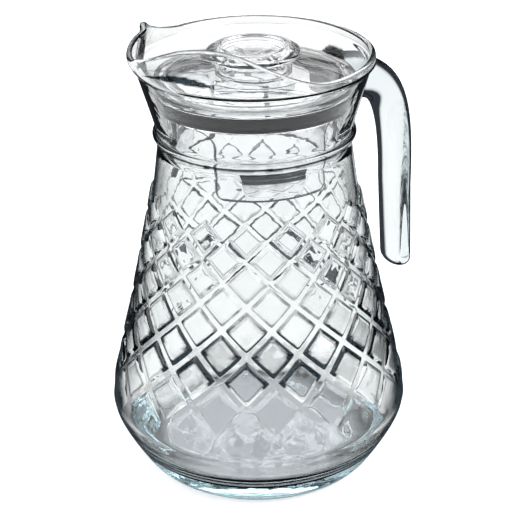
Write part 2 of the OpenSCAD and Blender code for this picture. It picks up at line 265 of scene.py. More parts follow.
def soften_edges(obj: bpy.types.Object, width: float, segments: int = 3) -> None:
    """Round the sharp edges of a moulded piece.

    Args:
        obj: the piece.
        width: size of the rounding in millimetres.
        segments: faces across the rounding.
    """
    bevel = obj.modifiers.new("rounded_edges", "BEVEL")
    bevel.width = width * MM
    bevel.segments = segments
    bevel.limit_method = "ANGLE"
    bevel.angle_limit = math.radians(SHARP_DEGREES)
    apply_modifiers(obj)


def place(obj: bpy.types.Object, body: Body, node: str, finish: bpy.types.Material) -> None:
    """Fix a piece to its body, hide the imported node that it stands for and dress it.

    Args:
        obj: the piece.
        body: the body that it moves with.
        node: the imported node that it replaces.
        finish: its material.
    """
    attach(obj, body.value)
    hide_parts(node)
    obj.data.materials.append(finish)
    LOG.info("%s: %d points on %s", obj.name, len(obj.data.vertices), body.value)


@dataclass(frozen=True)
class Finish:
    """What every finish has: the name of its material."""

    name: str

    def begin(self) -> tuple[bpy.types.Material, bpy.types.NodeTree]:
        """Start an empty node material.

        Returns:
            The material and its node tree.
        """
        material = bpy.data.materials.new(self.name)
        material.use_nodes = True
        material.node_tree.nodes.clear()
        return material, material.node_tree


def add_node(
    tree: bpy.types.NodeTree, kind: str, settings: dict | None = None, links: dict | None = None
) -> bpy.types.Node:
    """Add a node, give it its settings and link its inputs.

    Args:
        tree: the node tree.
        kind: Blender's name of the node type.
        settings: attributes by name, or input values by the input's name or number.
        links: output socket to link to each input, by the input's name or number.

    Returns:
        The new node.
    """
    node = tree.nodes.new(kind)
    for key, value in (settings or {}).items():
        if isinstance(key, str) and hasattr(node, key):
            setattr(node, key, value)
        else:
            node.inputs[key].default_value = value
    for key, socket in (links or {}).items():
        tree.links.new(socket, node.inputs[key])
    return node


@dataclass(frozen=True)
class PressedGlass(Finish):
    """Soda-lime glass, pressed in a mould and fire polished.

    The mould's chill leaves a faint ripple and the iron in the sand a blue-green
    tint that shows only along the glass. Towards grazing angles the colour goes
    dark: painted shade for the dark that the glass's edges refract. A marked
    finish reads two numbers from each point of the mesh: one says how much
    painted shade the thick glass gets there, the same from all sides, and the
    other puts off the painted grazing shade. The ripple is drawn coarser than
    the real one.
    """

    name: str = "pressed_soda_lime_glass"
    tint: str = "FEFFFF"
    # Near-black edge colour: painted shade towards grazing angles and on the painted marks
    edge: str = "060B0E"
    depth_tint: str = "BADAE2"
    depth_density: float = 11.0
    ior: float = 1.52
    roughness: float = 0.0
    shine: float = 0.3
    ripple_mm: float = 9.0
    ripple_height_mm: float = 0.09
    # Facing over which the painted grazing shade sets in
    grazing_shade_start: float = 0.36
    grazing_shade_end: float = 0.80
    # Dark teal of the painted shade in the base, partly the thick base's own tint, and where the mark turns to it
    base_tint_and_shade: str = "06262C"
    base_low: float = 0.33
    base_high: float = 0.36
    marked: bool = True
    # Painted marks: the value at which their shade is full, and noise that breaks it into patches
    mark_full: float = 0.88
    break_mm: float = 8.0
    break_power: float = 2.5
    break_low: float = 0.44
    break_high: float = 0.54

    def build(self) -> bpy.types.Material:
        """Make the material.

        Returns:
            The material.
        """
        material, tree = self.begin()
        coords = add_node(tree, "ShaderNodeTexCoord").outputs["Object"]
        normal = self.ripple(tree, coords)
        base = None
        if self.marked:
            base = add_node(tree, "ShaderNodeAttribute", {"attribute_name": "grazing_shade_offset"}).outputs["Fac"]
        colour = self.colour(tree, self.painted_darkness(tree, coords, normal, base), base)
        shader = add_node(
            tree,
            "ShaderNodeBsdfPrincipled",
            {
                "Transmission Weight": 1.0,
                "IOR": self.ior,
                "Roughness": self.roughness,
                "Specular IOR Level": self.shine,
            },
            {"Base Color": colour, "Normal": normal},
        )
        depth = add_node(
            tree, "ShaderNodeVolumeAbsorption", {"Color": srgb(self.depth_tint), "Density": self.depth_density}
        )
        add_node(
            tree,
            "ShaderNodeOutputMaterial",
            links={"Surface": shader.outputs["BSDF"], "Volume": depth.outputs["Volume"]},
        )
        return material

    def ripple(self, tree: bpy.types.NodeTree, coords: bpy.types.NodeSocket) -> bpy.types.NodeSocket:
        """Make the faint ripple of the surface.

        Args:
            tree: the node tree.
            coords: places on the object.

        Returns:
            The rippled normal.
        """
        waves = add_node(
            tree,
            "ShaderNodeTexNoise",
            {"Scale": 1 / (self.ripple_mm * MM), "Detail": 2.0, "Roughness": 0.45},
            {"Vector": coords},
        )
        settings = {"Strength": 1.0, "Distance": self.ripple_height_mm * MM}
        return add_node(tree, "ShaderNodeBump", settings, {"Height": waves.outputs["Fac"]}).outputs["Normal"]

    def painted_darkness(
        self,
        tree: bpy.types.NodeTree,
        coords: bpy.types.NodeSocket,
        normal: bpy.types.NodeSocket,
        base: bpy.types.NodeSocket | None,
    ) -> bpy.types.NodeSocket:
        """Work out the share of painted shade: towards grazing angles and from the painted marks.

        Args:
            tree: the node tree.
            coords: places on the object.
            normal: the rippled normal.
            base: the mark that puts off the painted grazing shade, if the finish is marked.

        Returns:
            The share of the edge colour, from 0 to 1.
        """
        # Painted shade towards grazing angles, put off where the mark says
        turned = add_node(tree, "ShaderNodeLayerWeight", {"Blend": 0.5}, {"Normal": normal}).outputs["Facing"]
        if base is not None:
            turned = add_node(tree, "ShaderNodeMath", {"operation": "SUBTRACT"}, {0: turned, 1: base}).outputs[0]
        grazing = add_node(
            tree,
            "ShaderNodeMapRange",
            {"interpolation_type": "SMOOTHSTEP", "From Min": self.grazing_shade_start, "From Max": self.grazing_shade_end},
            {"Value": turned},
        ).outputs["Result"]
        if base is None:
            return grazing
        flank = add_node(tree, "ShaderNodeAttribute", {"attribute_name": "painted_shade"}).outputs["Fac"]
        patchy = add_node(
            tree, "ShaderNodeTexNoise", {"Scale": 1 / (self.break_mm * MM), "Detail": 1.0}, {"Vector": coords}
        )
        least = add_node(tree, "ShaderNodeMath", {"operation": "POWER", 1: self.break_power}, {0: flank})
        broken = add_node(
            tree,
            "ShaderNodeMapRange",
            {"From Min": self.break_low, "From Max": self.break_high},
            {"Value": patchy.outputs["Fac"], "To Min": least.outputs[0], "To Max": flank},
        )
        marks = add_node(tree, "ShaderNodeMapRange", {"From Max": self.mark_full}, {"Value": broken.outputs["Result"]})
        links = {0: grazing, 1: marks.outputs["Result"]}
        return add_node(tree, "ShaderNodeMath", {"operation": "MAXIMUM"}, links).outputs[0]

    def colour(
        self, tree: bpy.types.NodeTree, dark: bpy.types.NodeSocket, base: bpy.types.NodeSocket | None
    ) -> bpy.types.NodeSocket:
        """Mix the clear colour of the glass with its painted shade, which is dark teal in the base, partly the thick
        base's own tint.

        Args:
            tree: the node tree.
            dark: the share of the edge colour, which is painted shade.
            base: the mark that puts off the painted grazing shade, if the finish is marked.

        Returns:
            The colour.
        """
        # The edge colour mixed in here is painted shade
        tones = {"data_type": "RGBA", 6: srgb(self.tint), 7: srgb(self.edge)}
        colour = add_node(tree, "ShaderNodeMix", tones, {0: dark})
        if base is not None:
            deep = add_node(
                tree, "ShaderNodeMapRange", {"From Min": self.base_low, "From Max": self.base_high}, {"Value": base}
            )
            tones = {"data_type": "RGBA", 6: srgb(self.edge), 7: srgb(self.base_tint_and_shade)}
            edge = add_node(tree, "ShaderNodeMix", tones, {0: deep.outputs["Result"]})
            tree.links.new(edge.outputs[2], colour.inputs[7])
        return colour.outputs[2]


@dataclass(frozen=True)
class DrawnGlass(PressedGlass):
    """Soda-lime glass, drawn by hand from a gather: long soft waves and a thin band of black painted shade towards
    grazing angles.
    """

    name: str = "drawn_soda_lime_glass"
    edge: str = "040507"
    ripple_mm: float = 30.0
    grazing_shade_start: float = 0.40
    grazing_shade_end: float = 0.50


@dataclass(frozen=True)
class MouldedPlastic(PressedGlass):
    """Clear acrylic, injection moulded: nearly colourless and even, with soft grey painted shade towards grazing
    angles.
    """

    name: str = "moulded_clear_plastic"
    tint: str = "FEFEFF"
    edge: str = "70787C"
    depth_tint: str = "E8F0F2"
    depth_density: float = 2.0
    ior: float = 1.49
    ripple_mm: float = 25.0
    ripple_height_mm: float = 0.01
    grazing_shade_start: float = 0.76
    grazing_shade_end: float = 0.97
    marked: bool = False


@dataclass(frozen=True)
class LegPlastic(MouldedPlastic):
    """The same acrylic on the lid's legs, with black painted shade towards grazing angles, so that their edges look
    black behind the glass.
    """

    name: str = "moulded_clear_leg_plastic"
    edge: str = "0C0F12"
    grazing_shade_start: float = 0.75
    grazing_shade_end: float = 0.95
    marked: bool = True


@dataclass(frozen=True)
class MouldedSilicone(PressedGlass):
    """Smoke grey silicone rubber, moulded: near black across its thickness, with near-black painted shade towards
    grazing angles.
    """

    name: str = "moulded_silicone"
    tint: str = "24272A"
    edge: str = "08090A"
    depth_tint: str = "202426"
    depth_density: float = 500.0
    ior: float = 1.41
    shine: float = 0.15
    ripple_mm: float = 6.0
    marked: bool = False


@dataclass
class JugForm:
    """The pressed glass jug: foot, belly, diamond net, neck, collar and wing."""

    foot_r: float = 60.0
    belly_r: float = 78.65
    belly_z: float = 34.0
    neck_r: float = 49.2
    neck_z: float = 176.1
    wall: float = 3.6
    lip_wall: float = 3.2
    base_t: float = 13.0
    foot_h: float = 5.0
    foot_swell: float = 5.0
    punt_h: float = 1.6
    stand_w: float = 9.0
    ring_z: float = 183.3
    ring_out: float = 2.1
    ring_half: float = 2.0
    rim_z: float = 220.0
    rim_r: float = 60.5
    rim_band: float = 4.0
    collar_throat: float = 3.5
    collar_flare: float = 1.05
    band_out: float = 1.4
    band_step: float = 0.8
    neck_line: float = 3.6
    line_step: float = 0.5
    spout_reach: float = 15.2
    spout_half: float = 27.0
    beak_power: float = 1.15
    wing_rise: float = 17.4
    wing_half: float = 91.0
    crest_half: float = 28.0
    throat_share: float = 0.17
    pinch_at: float = 39.5
    pinch_half: float = 60.0
    pinch_tail: float = 41.0
    tip_dip: float = 4.6
    dip_half: float = 17.0
    gap: float = 0.3
    lid_edge_drop: float = 8.6
    lip_round: float = 1.2
    spout_crowd: float = 10.0
    net_columns: int = 16
    net_rows: int = 8
    net_z: float = 47.0
    skirt_z: float = 35.0
    net_step: float = 14.5
    net_shrink: float = 0.955
    pillow_h: float = 1.45
    band_half_share: float = 0.07
    edge_share: float = 0.14
    edge_power: float = 2.3
    dome_share: float = 0.14
    # Painted shade on the net: on the pillows' steep flanks by height, in their corners by row, and a faint tone on the
    # upper pillows
    flank_turn: float = 0.11
    flank_painted_shade: Table = ((68, 78, 100, 112, 130, 160), (0.0, 0.98, 0.95, 0.6, 0.35, 0.25))
    corner_start: Table = ((2, 3, 4, 6), (0.5, 0.42, 0.58, 0.7))
    corner_painted_shade: Table = ((1, 2, 4, 6), (0.0, 1.0, 0.9, 0.45))
    pillow_painted_shade: float = 0.03
    # How far the painted grazing shade is put off: outside in the base, on the collar and inside
    base_facing: float = 0.36
    collar_facing: float = 0.32
    inside_facing: float = 0.28
    low_relief: float = 0.35
    relief_start: float = 4.0
    relief_grow: float = 20.0
    skin_share: float = 0.6
    # Painted shade: a line under the neck ring, and a patch round the handle's root on the collar
    line_drop: float = 1.7
    line_half: float = 0.9
    root_half_turn: float = 11.5
    root_half_h: float = 11.0
    root_drop: float = 17.0
    # Painted shade in the bowl, where the inner wall meets the floor
    bowl_painted_shade: float = 0.5
    bowl_mark_r: float = 52.0
    bowl_mark_z: float = 27.0
    bowl_fade: float = 8.0
    # Where the put-off of the painted grazing shade fades: in the base, on the collar and at the shoulder
    base_drop: float = 4.0
    base_fade: float = 12.0
    collar_clear: float = 2.0
    collar_fade: float = 3.0
    shoulder_out: float = 0.08
    shoulder_in: float = 0.4
    shoulder_reach: float = 8.0
    shoulder_rise: float = 6.0
    # Painted shade in the darkest pillow corners: which rows, how far in, and their fades
    under_row: int = 3
    under_reach: float = 0.27
    over_row: int = 2
    over_reach: float = 0.26
    corner_fade: float = 0.06
    side_fade: float = 0.1
    pillow_fade: float = 0.02
    # Painted shade beside the spout's throat: a dark lens and a thinner line
    lens_middle: Table = ((3, 11, 20, 31), (0.575, 0.43, 0.33, 0.27))
    lens_half: float = 0.13
    lens_at: float = 17.0
    lens_reach: float = 15.0
    lens_fade: float = 0.05
    lens_line: float = 0.22
    lens_line_half: float = 0.05
    lens_line_fade: float = 0.03
    lens_line_span: tuple[float, float] = (5, 29)
    lens_line_painted_shade: float = 0.75
    skirt_rows: int = 13
    wing_rows: int = 24
    line_shares: tuple[float, ...] = (
        0.0, 0.055, 0.07, 0.08, 0.092, 0.107, 0.13, 0.17, 0.25, 0.37,
        0.5, 0.63, 0.75, 0.83, 0.87, 0.893, 0.908, 0.92, 0.93, 0.945,
    )
    rise_shares: tuple[float, ...] = (0, 0.085, 0.18, 0.32, 0.5, 0.67, 0.85, 1)
    draw_shares: tuple[float, ...] = (0, 0.06, 0.185, 0.361, 0.557, 0.725, 0.9, 1)
    swell_shares: tuple[float, ...] = (0, 0.3, 0.58, 0.83, 1)
    fill_shares: tuple[float, ...] = (0, 0.38, 0.7, 0.93, 1)
    bowl_r_shares: tuple[float, ...] = (1, 0.965, 0.89, 0.765)
    bowl_z_shares: tuple[float, ...] = (1, 0.55, 0.2, 0)

    @property
    def collar_z(self) -> float:
        """Height of the collar's throat."""
        return self.ring_z + self.collar_throat

    @property
    def inner_neck_r(self) -> float:
        """Inner radius of the neck."""
        return self.neck_r - self.wall

    def body_r(self, z: np.ndarray | float) -> np.ndarray:
        """Outer radius of the body's plain form between foot and neck.

        Args:
            z: heights.

        Returns:
            The radius at each height.
        """
        z = np.asarray(z, float)
        top_r = self.foot_r + self.foot_swell
        low = top_r + (self.belly_r - top_r) * table_curve(
            self.swell_shares, self.fill_shares, (z - self.foot_h) / (self.belly_z - self.foot_h)
        )
        high = self.belly_r - (self.belly_r - self.neck_r) * table_curve(
            self.rise_shares, self.draw_shares, (z - self.belly_z) / (self.neck_z - self.belly_z)
        )
        return np.where(z < self.belly_z, low, high)

    def flared(self, z: np.ndarray | float, low: float, top: float) -> np.ndarray:
        """Follow the collar's flare from its throat up to the rim line.

        Args:
            z: heights.
            low: radius at the throat.
            top: radius at the rim line.

        Returns:
            The radius at each height.
        """
        t = np.clip((np.asarray(z, float) - self.collar_z) / (self.rim_z - self.collar_z), 0, 1)
        return low + (top - low) * t**self.collar_flare

    def collar_out(self, z: np.ndarray | float) -> np.ndarray:
        """Outer radius of the collar."""
        return self.flared(z, self.neck_r + self.ring_half / 5, self.rim_r - self.band_out)

    def collar_in(self, z: np.ndarray | float) -> np.ndarray:
        """Inner radius of the collar."""
        return self.flared(z, self.inner_neck_r, self.rim_r - self.lip_wall - self.band_step)

    @property
    def lid_r(self) -> float:
        """Radius of the lid's edge, which passes the pinched throat."""
        flare = self.rim_r - self.lip_wall - self.band_step - self.inner_neck_r
        return float(self.collar_in(self.rim_z - self.lid_edge_drop)) - self.gap - self.throat_share * flare

    @property
    def pinch(self) -> float:
        """How far the wing is pinched in beside the spout."""
        return self.rim_r - self.band_step / 2 - self.lip_wall - self.gap - self.lid_r

    def edge_h(self, a: np.ndarray) -> np.ndarray:
        """Height of the wing's edge over the rim line.

        Args:
            a: degrees from the spout.

        Returns:
            The height at each angle.
        """
        over = np.maximum(0, np.abs(a) - self.crest_half)
        return (
            self.rim_band
            + self.wing_rise * bump(over, self.wing_half - self.crest_half)
            - self.tip_dip * bump(a, self.dip_half)
        )

    def edge_r(self, a: np.ndarray) -> np.ndarray:
        """Outer radius of the wing's edge.

        Args:
            a: degrees from the spout.

        Returns:
            The radius at each angle.
        """
        beside = np.abs(a) - self.pinch_at
        squeeze = np.where(beside < 0, bump(beside, self.pinch_half), bump(beside, self.pinch_tail))
        beak = self.spout_reach * bump(a, self.spout_half) ** self.beak_power
        return self.rim_r - self.band_step / 2 + beak - self.pinch * squeeze

    def spokes(self, k: int, crowd: float) -> np.ndarray:
        """Angles of the lattice points of one row.

        Args:
            k: number of the row, which sets its stagger.
            crowd: how far the points gather towards the spout, from 0 to 1.

        Returns:
            The angles, in degrees.
        """
        lines = len(self.line_shares)
        m = np.arange(self.net_columns * lines)
        a = 360 / self.net_columns * (0.5 + (2 * m + (k % 2) + 1) / (2 * lines))
        return a - crowd * self.spout_crowd * np.sin(2 * np.radians(a))

    def ring(self, k: int, r: float, z: float, crowd: float = 0.0) -> np.ndarray:
        """Points of one plain row."""
        return polar(r, np.radians(self.spokes(k, crowd)), z)

    def pillow(self, share: np.ndarray) -> np.ndarray:
        """Height of the pillows across one diamond.

        Args:
            share: way across the diamond, from band to band.

        Returns:
            The share of the full height.
        """
        near = np.minimum(share, 1 - share)
        t = np.clip((near - self.band_half_share) / self.edge_share, 0, 1)
        rise = 1 - (1 - t) ** self.edge_power
        return rise * (1 - self.dome_share * (2 * share - 1) ** 2)

    def net_row(self, k: int) -> np.ndarray:
        """Points of one row of the net.

        Args:
            k: number of the row, counted from the net's lowest tips.

        Returns:
            The row's points.
        """
        lines = len(self.line_shares)
        shares = np.array(self.line_shares)
        m = np.arange(self.net_columns * lines)
        b = m - k // 2
        a = b + k
        wa = a // lines + shares[a % lines]
        wb = b // lines + shares[b % lines]
        w = wa - wb
        z = self.net_z + self.net_step * (1 - self.net_shrink**w) / (1 - self.net_shrink)
        cell = a // lines - b // lines
        inside = (cell >= 0) & (cell <= self.net_rows)
        up = np.where(inside, self.pillow(shares[a % lines]) * self.pillow(shares[b % lines]), 0)
        grown = smoothstep((z - self.net_z - self.relief_start) / self.relief_grow)
        shallow = self.low_relief + (1 - self.low_relief) * grown
        r = self.body_r(z) + self.pillow_h * shallow * up
        return polar(r, np.radians(360 / self.net_columns * (0.5 + (wa + wb) / 2)), z)

    def wing_row(self, k: int, t: float, inset: float, level: float) -> np.ndarray:
        """Points of one row of the rim band and wing.

        Args:
            k: number of the row, which sets its stagger.
            t: 0 at the rim line and 1 at the edge.
            inset: distance in from the outer face.
            level: height over the row's own level.

        Returns:
            The row's points.
        """
        a = self.spokes(k, 1.0)
        s = a - 360 * np.round(a / 360)
        h = self.edge_h(s) - self.lip_round
        grow = math.sin(math.pi / 2 * t)
        r = (1 - grow) * self.rim_r + grow * self.edge_r(s) - inset
        return polar(r, np.radians(a), self.rim_z + h * t + level)

    def skirt_row(self, k: int, z: float) -> np.ndarray:
        """Points of one row of the glass under the net, which fades into the plain belly.

        Args:
            k: number of the row, which sets its stagger.
            z: its height.

        Returns:
            The row's points.
        """
        shares = np.array(self.line_shares)
        lines = len(shares)
        m = np.arange(self.net_columns * lines)
        spread = (2 * m + (k % 2) + 1) / (2 * lines)
        fade = smoothstep((z - self.skirt_z) / (self.net_z - self.skirt_z))
        at = (1 - fade) * (m % lines + 0.5 + 0.5 * (k % 2)) / lines + fade * shares[m % lines]
        up = self.pillow(shares[m % lines]) ** 2 * fade
        a = np.radians(360 / self.net_columns * (0.5 + (1 - fade) * spread + fade * (m // lines + shares[m % lines])))
        r = float(self.body_r(z)) + self.pillow_h * self.low_relief * up
        return polar(r, a, z)

    def outside_low(self) -> list[tuple[float, float]]:
        """Outline from the middle of the underside to the foot of the net.

        Returns:
            Points of (radius, height).
        """
        hollow = self.foot_r - self.stand_w
        under = rounded(
            [
                (2.0, self.punt_h, 0), (hollow - self.punt_h, self.punt_h, 1.0), (hollow, 0, 1.2),
                (self.foot_r, 0, 1.6), (self.foot_r + 2, 1.5, 1.0),
                (self.foot_r + self.foot_swell, self.foot_h, 1.2),
                (float(self.body_r(self.foot_h + 4)), self.foot_h + 4, 0),
            ],
            5,
        )
        flat = [(r, self.punt_h) for r in (10.0, 20.0, 30.0, 40.0)]
        rise = np.linspace(self.foot_h + 5.5, self.belly_z, 18)
        side = [(float(self.body_r(z)), float(z)) for z in rise]
        return [tuple(under[0]), *flat, *map(tuple, under[1:]), *side]

    def outside_high(self) -> list[tuple[float, float]]:
        """Outline from the top of the net to the rim line.

        Returns:
            Points of (radius, height).
        """
        top = self.net_z + self.net_step * (1 - self.net_shrink ** (self.net_rows + 1)) / (1 - self.net_shrink)
        step_z = self.ring_z - 2 * self.neck_line
        rows = [(float(self.body_r(z)), float(z)) for z in np.linspace(top, step_z - 0.6, 6)[1:]]
        rows += [(self.neck_r - 0.1, step_z - 0.2), (self.neck_r - self.line_step, step_z + 0.3)]
        rows += [(self.neck_r - self.line_step * 0.6, step_z + 2.5), (self.neck_r, self.ring_z - 2.4)]
        for a in np.linspace(-80, 80, 11):
            rad = math.radians(a)
            rows.append((self.neck_r + self.ring_out * math.cos(rad) ** 0.8, self.ring_z + 1.75 * math.sin(rad)))
        for z in np.linspace(self.ring_z + 2.3, self.rim_z - self.band_step - 0.4, 22):
            rows.append((float(self.collar_out(z)), float(z)))
        rows.append((float(self.collar_out(self.rim_z)) + 0.25, self.rim_z - self.band_step + 0.1))
        rows.append((self.rim_r - 0.45, self.rim_z - 0.25))
        return rows

    def inside(self) -> list[tuple[float, float]]:
        """Outline down the inside, from the rim line to the middle of the floor.

        Returns:
            Points of (radius, height).
        """
        corner = self.belly_z - 2.7
        rows = [(float(self.collar_in(z)), float(z)) for z in np.linspace(self.rim_z - 0.8, self.collar_z, 20)]
        rows += [(self.inner_neck_r, z) for z in (184.0, 180.0, 176.5)]
        rows += [(float(self.body_r(z)) - self.wall, float(z)) for z in np.linspace(174, corner + 1, 60)]
        floor = float(self.body_r(corner)) - self.wall
        s = np.linspace(0, 1, 14)
        r = table_curve((0, 1, 2, 3), self.bowl_r_shares, s * 3) * floor
        z = self.base_t + (corner - self.base_t) * table_curve((0, 1, 2, 3), self.bowl_z_shares, s * 3)
        rows += list(zip(r.tolist(), z.tolist()))
        rows += [(floor * share, self.base_t) for share in (0.65, 0.5, 0.35, 0.2, 0.08, 0.03)]
        return rows

    def build(self) -> bpy.types.Object:
        """Make the jug's mesh as one closed lattice of staggered rows.

        Returns:
            The jug's object.
        """
        rows: list[np.ndarray] = []
        for r, z in self.outside_low():
            rows.append(self.ring(len(rows), r, z))
        # An even number of rows has to lie under the net, whose stagger starts at 0
        count = self.skirt_rows + (len(rows) + self.skirt_rows) % 2
        for z in np.linspace(self.belly_z, self.net_z, count + 1)[1:-1]:
            rows.append(self.skirt_row(len(rows), float(z)))
        if len(rows) % 2:
            rows.append(self.skirt_row(len(rows), self.net_z - 0.3))
        lines = len(self.line_shares)
        for k in range(lines * (self.net_rows + 1) + 1):
            rows.append(self.net_row(k))
        high = self.outside_high()
        if (len(rows) + len(high)) % 2:
            high.insert(1, ((high[0][0] + high[1][0]) / 2, (high[0][1] + high[1][1]) / 2))
        for i, (r, z) in enumerate(high):
            rows.append(self.ring(len(rows), r, z, smoothstep(i / len(high))))
        for t in np.linspace(0, 1, self.wing_rows):
            rows.append(self.wing_row(len(rows), t, 0.0, 0.0))
        for a in np.linspace(0, math.pi, 9)[1:-1]:
            inset = self.lip_wall / 2 * (1 - math.cos(a))
            rows.append(self.wing_row(len(rows), 1, inset, self.lip_round * math.sin(a)))
        for t in np.linspace(1, 0, self.wing_rows):
            rows.append(self.wing_row(len(rows), t, self.lip_wall, 0.0))
        inside = self.inside()
        for i, (r, z) in enumerate(inside):
            rows.append(self.ring(len(rows), r, z, 1.0 - smoothstep(i / self.wing_rows)))
        obj = make_object("jug_glass_body", *self.skin(rows))
        self.mark(obj)
        return obj

    def mark(self, obj: bpy.types.Object) -> None:
        """Store the jug's painted shade and how far its painted grazing shade is put off.

        Near black is painted on the mould's steep flanks and in the pillows'
        corners, under the neck ring, round the handle's root, beside the spout
        and in the bowl; the grazing shade is put off most in the thick base.

        Args:
            obj: the jug's object, in metres.
        """
        mesh = obj.data
        count = len(mesh.vertices)
        at, way = np.empty(count * 3), np.empty(count * 3)
        mesh.vertices.foreach_get("co", at)
        mesh.vertices.foreach_get("normal", way)
        x, y, z = at.reshape(-1, 3).T / MM
        r = np.maximum(np.hypot(x, y), 0.01)
        slope = self.body_r(z + 0.5) - self.body_r(z - 0.5)
        plain = np.stack([x / r, y / r, -slope], 1) / np.sqrt(1 + slope**2)[:, None]
        steep = 1 - (way.reshape(-1, 3) * plain).sum(1)
        outside = r > self.body_r(z) - self.skin_share * self.wall
        net_top = self.ring_z - 2 * self.neck_line - 1.0
        # Painted shade on the net's steep flanks and in the pillows' corners
        depth = np.interp(z, *self.flank_painted_shade)
        in_net = outside & (z > self.skirt_z) & (z < net_top)
        edges = depth * smoothstep(steep / self.flank_turn)
        flank = np.where(in_net, np.maximum(edges, self.corner_shade(x, y, z)), 0)
        # Painted shade: a near-black line under the neck ring and a patch round the handle's root
        under_ring = outside & (np.abs(z - self.ring_z + self.line_drop) < self.line_half)
        a = np.degrees(np.arctan2(y, x))
        root = np.hypot((np.abs(a) - 180) / self.root_half_turn, (z - self.rim_z + self.root_drop) / self.root_half_h)
        at_root = outside & (z > self.ring_z + 3) & (root < 1)
        dark = np.where(under_ring | at_root, FULL_PAINTED_SHADE, np.maximum(flank, self.spout_shade(a, r, z)))
        # How far the painted grazing shade is put off: most in the thick base, also on the collar and inside, less at
        # the shoulder
        low = self.base_facing * smoothstep((self.belly_z - self.base_drop - z) / self.base_fade)
        high = self.collar_facing * smoothstep((z - self.ring_z - self.collar_clear) / self.collar_fade)
        reach = self.shoulder_reach
        shoulder = smoothstep((z - self.belly_z + reach) / self.shoulder_rise)
        shoulder = shoulder * smoothstep((self.net_z + reach - z) / reach)
        within = self.inside_facing - self.shoulder_in * shoulder
        base = np.where(outside, low - self.shoulder_out * shoulder, within) + high
        # Painted shade in the bowl, where the inner wall meets the floor
        bowl = smoothstep((r - self.bowl_mark_r) / self.bowl_fade) * smoothstep((self.bowl_mark_z - z) / self.bowl_fade)
        clear = outside | (z < self.base_t - 1)
        dark = np.where(clear, dark, np.maximum(dark, self.bowl_painted_shade * bowl))
        # Store the painted shade, and how far the painted grazing shade is put off
        mark_points(obj, "painted_shade", dark)
        mark_points(obj, "grazing_shade_offset", base)

    def corner_shade(self, x: np.ndarray, y: np.ndarray, z: np.ndarray) -> np.ndarray:
        """Give the painted shade in the pillows' corners, where the glass is thickest.

        Args:
            x: place of each point.
            y: place of each point.
            z: height of each point.

        Returns:
            How much painted shade each point gets, from 0 to 1.
        """
        left = np.clip(1 - (z - self.net_z) * (1 - self.net_shrink) / self.net_step, 0.2, 2)
        w = np.log(left) / math.log(self.net_shrink)
        total = 2 * (np.degrees(np.arctan2(y, x)) % 360 * self.net_columns / 360 - 0.5)
        wa, wb = (total + w) / 2, (total - w) / 2
        row = np.floor(wa + 1e-6) - np.floor(wb + 1e-6)
        a, b = (wa + 1e-6) % 1, (wb + 1e-6) % 1
        near = np.minimum(np.minimum(a, 1 - a), np.minimum(b, 1 - b))
        on_pillow = smoothstep((near - self.band_half_share) / self.pillow_fade)
        side = smoothstep((np.abs(a + b - 1) - np.interp(row, *self.corner_start)) / self.side_fade)
        under = smoothstep((self.under_reach - np.minimum(a, 1 - b)) / self.corner_fade)
        under = under * (b - a > 0.05) * (row == self.under_row)
        over = smoothstep((self.over_reach - np.minimum(1 - a, b)) / self.corner_fade)
        over = over * (a - b > -0.1) * (row == self.over_row)
        corner = np.maximum(side * np.interp(row, *self.corner_painted_shade), np.maximum(under, over))
        return on_pillow * np.maximum(corner, self.pillow_painted_shade * (row > 2))

    def spout_shade(self, a: np.ndarray, r: np.ndarray, z: np.ndarray) -> np.ndarray:
        """Give the painted shade of thick glass on each side of the spout's throat: a dark lens and a thinner line
        above it.

        Args:
            a: degrees round the jug from the spout.
            r: radius of each point.
            z: height of each point.

        Returns:
            How much painted shade each point gets, from 0 to 1.
        """
        side = np.abs(a)
        h = self.edge_h(a) - self.lip_round
        t = (z - self.rim_z) / h
        grow = np.sin(np.pi / 2 * np.clip(t, 0, 1))
        outer = r > (1 - grow) * self.rim_r + grow * self.edge_r(a) - self.lip_wall / 2
        middle = np.interp(side, *self.lens_middle)
        half = self.lens_half * np.sqrt(np.clip(1 - ((side - self.lens_at) / self.lens_reach) ** 2, 0, 1))
        lens = smoothstep((half - np.abs(t - middle)) / self.lens_fade)
        first, last = self.lens_line_span
        line = smoothstep((self.lens_line_half - np.abs(t - middle - self.lens_line)) / self.lens_line_fade)
        line = line * (side > first) * (side < last)
        return np.where(outer & (t > 0), np.maximum(FULL_PAINTED_SHADE * lens, self.lens_line_painted_shade * line), 0)

    @staticmethod
    def skin(rows: list[np.ndarray]) -> tuple[np.ndarray, np.ndarray]:
        """Join staggered rows with triangles and close both ends with fans.

        Args:
            rows: the rows' points, from the underside round to the inner floor.

        Returns:
            All points and all faces.
        """
        n = len(rows[0])
        m = np.arange(n)
        nxt = (m + 1) % n
        faces = []
        for k in range(len(rows) - 1):
            a, b = k * n, (k + 1) * n
            if k % 2 == 0:
                pair = ([a + m, a + nxt, b + m], [a + nxt, b + nxt, b + m])
            else:
                pair = ([a + m, b + nxt, b + m], [a + m, a + nxt, b + nxt])
            faces += [np.stack(p, 1) for p in pair]
        first, last = len(rows) * n, len(rows) * n + 1
        faces.append(np.stack([np.full(n, first), nxt, m], 1))
        end = (len(rows) - 1) * n
        faces.append(np.stack([np.full(n, last), end + m, end + nxt], 1))
        poles = [[0, 0, rows[0][0][2]], [0, 0, rows[-1][0][2]]]
        return np.vstack([*rows, poles]), np.vstack(faces)


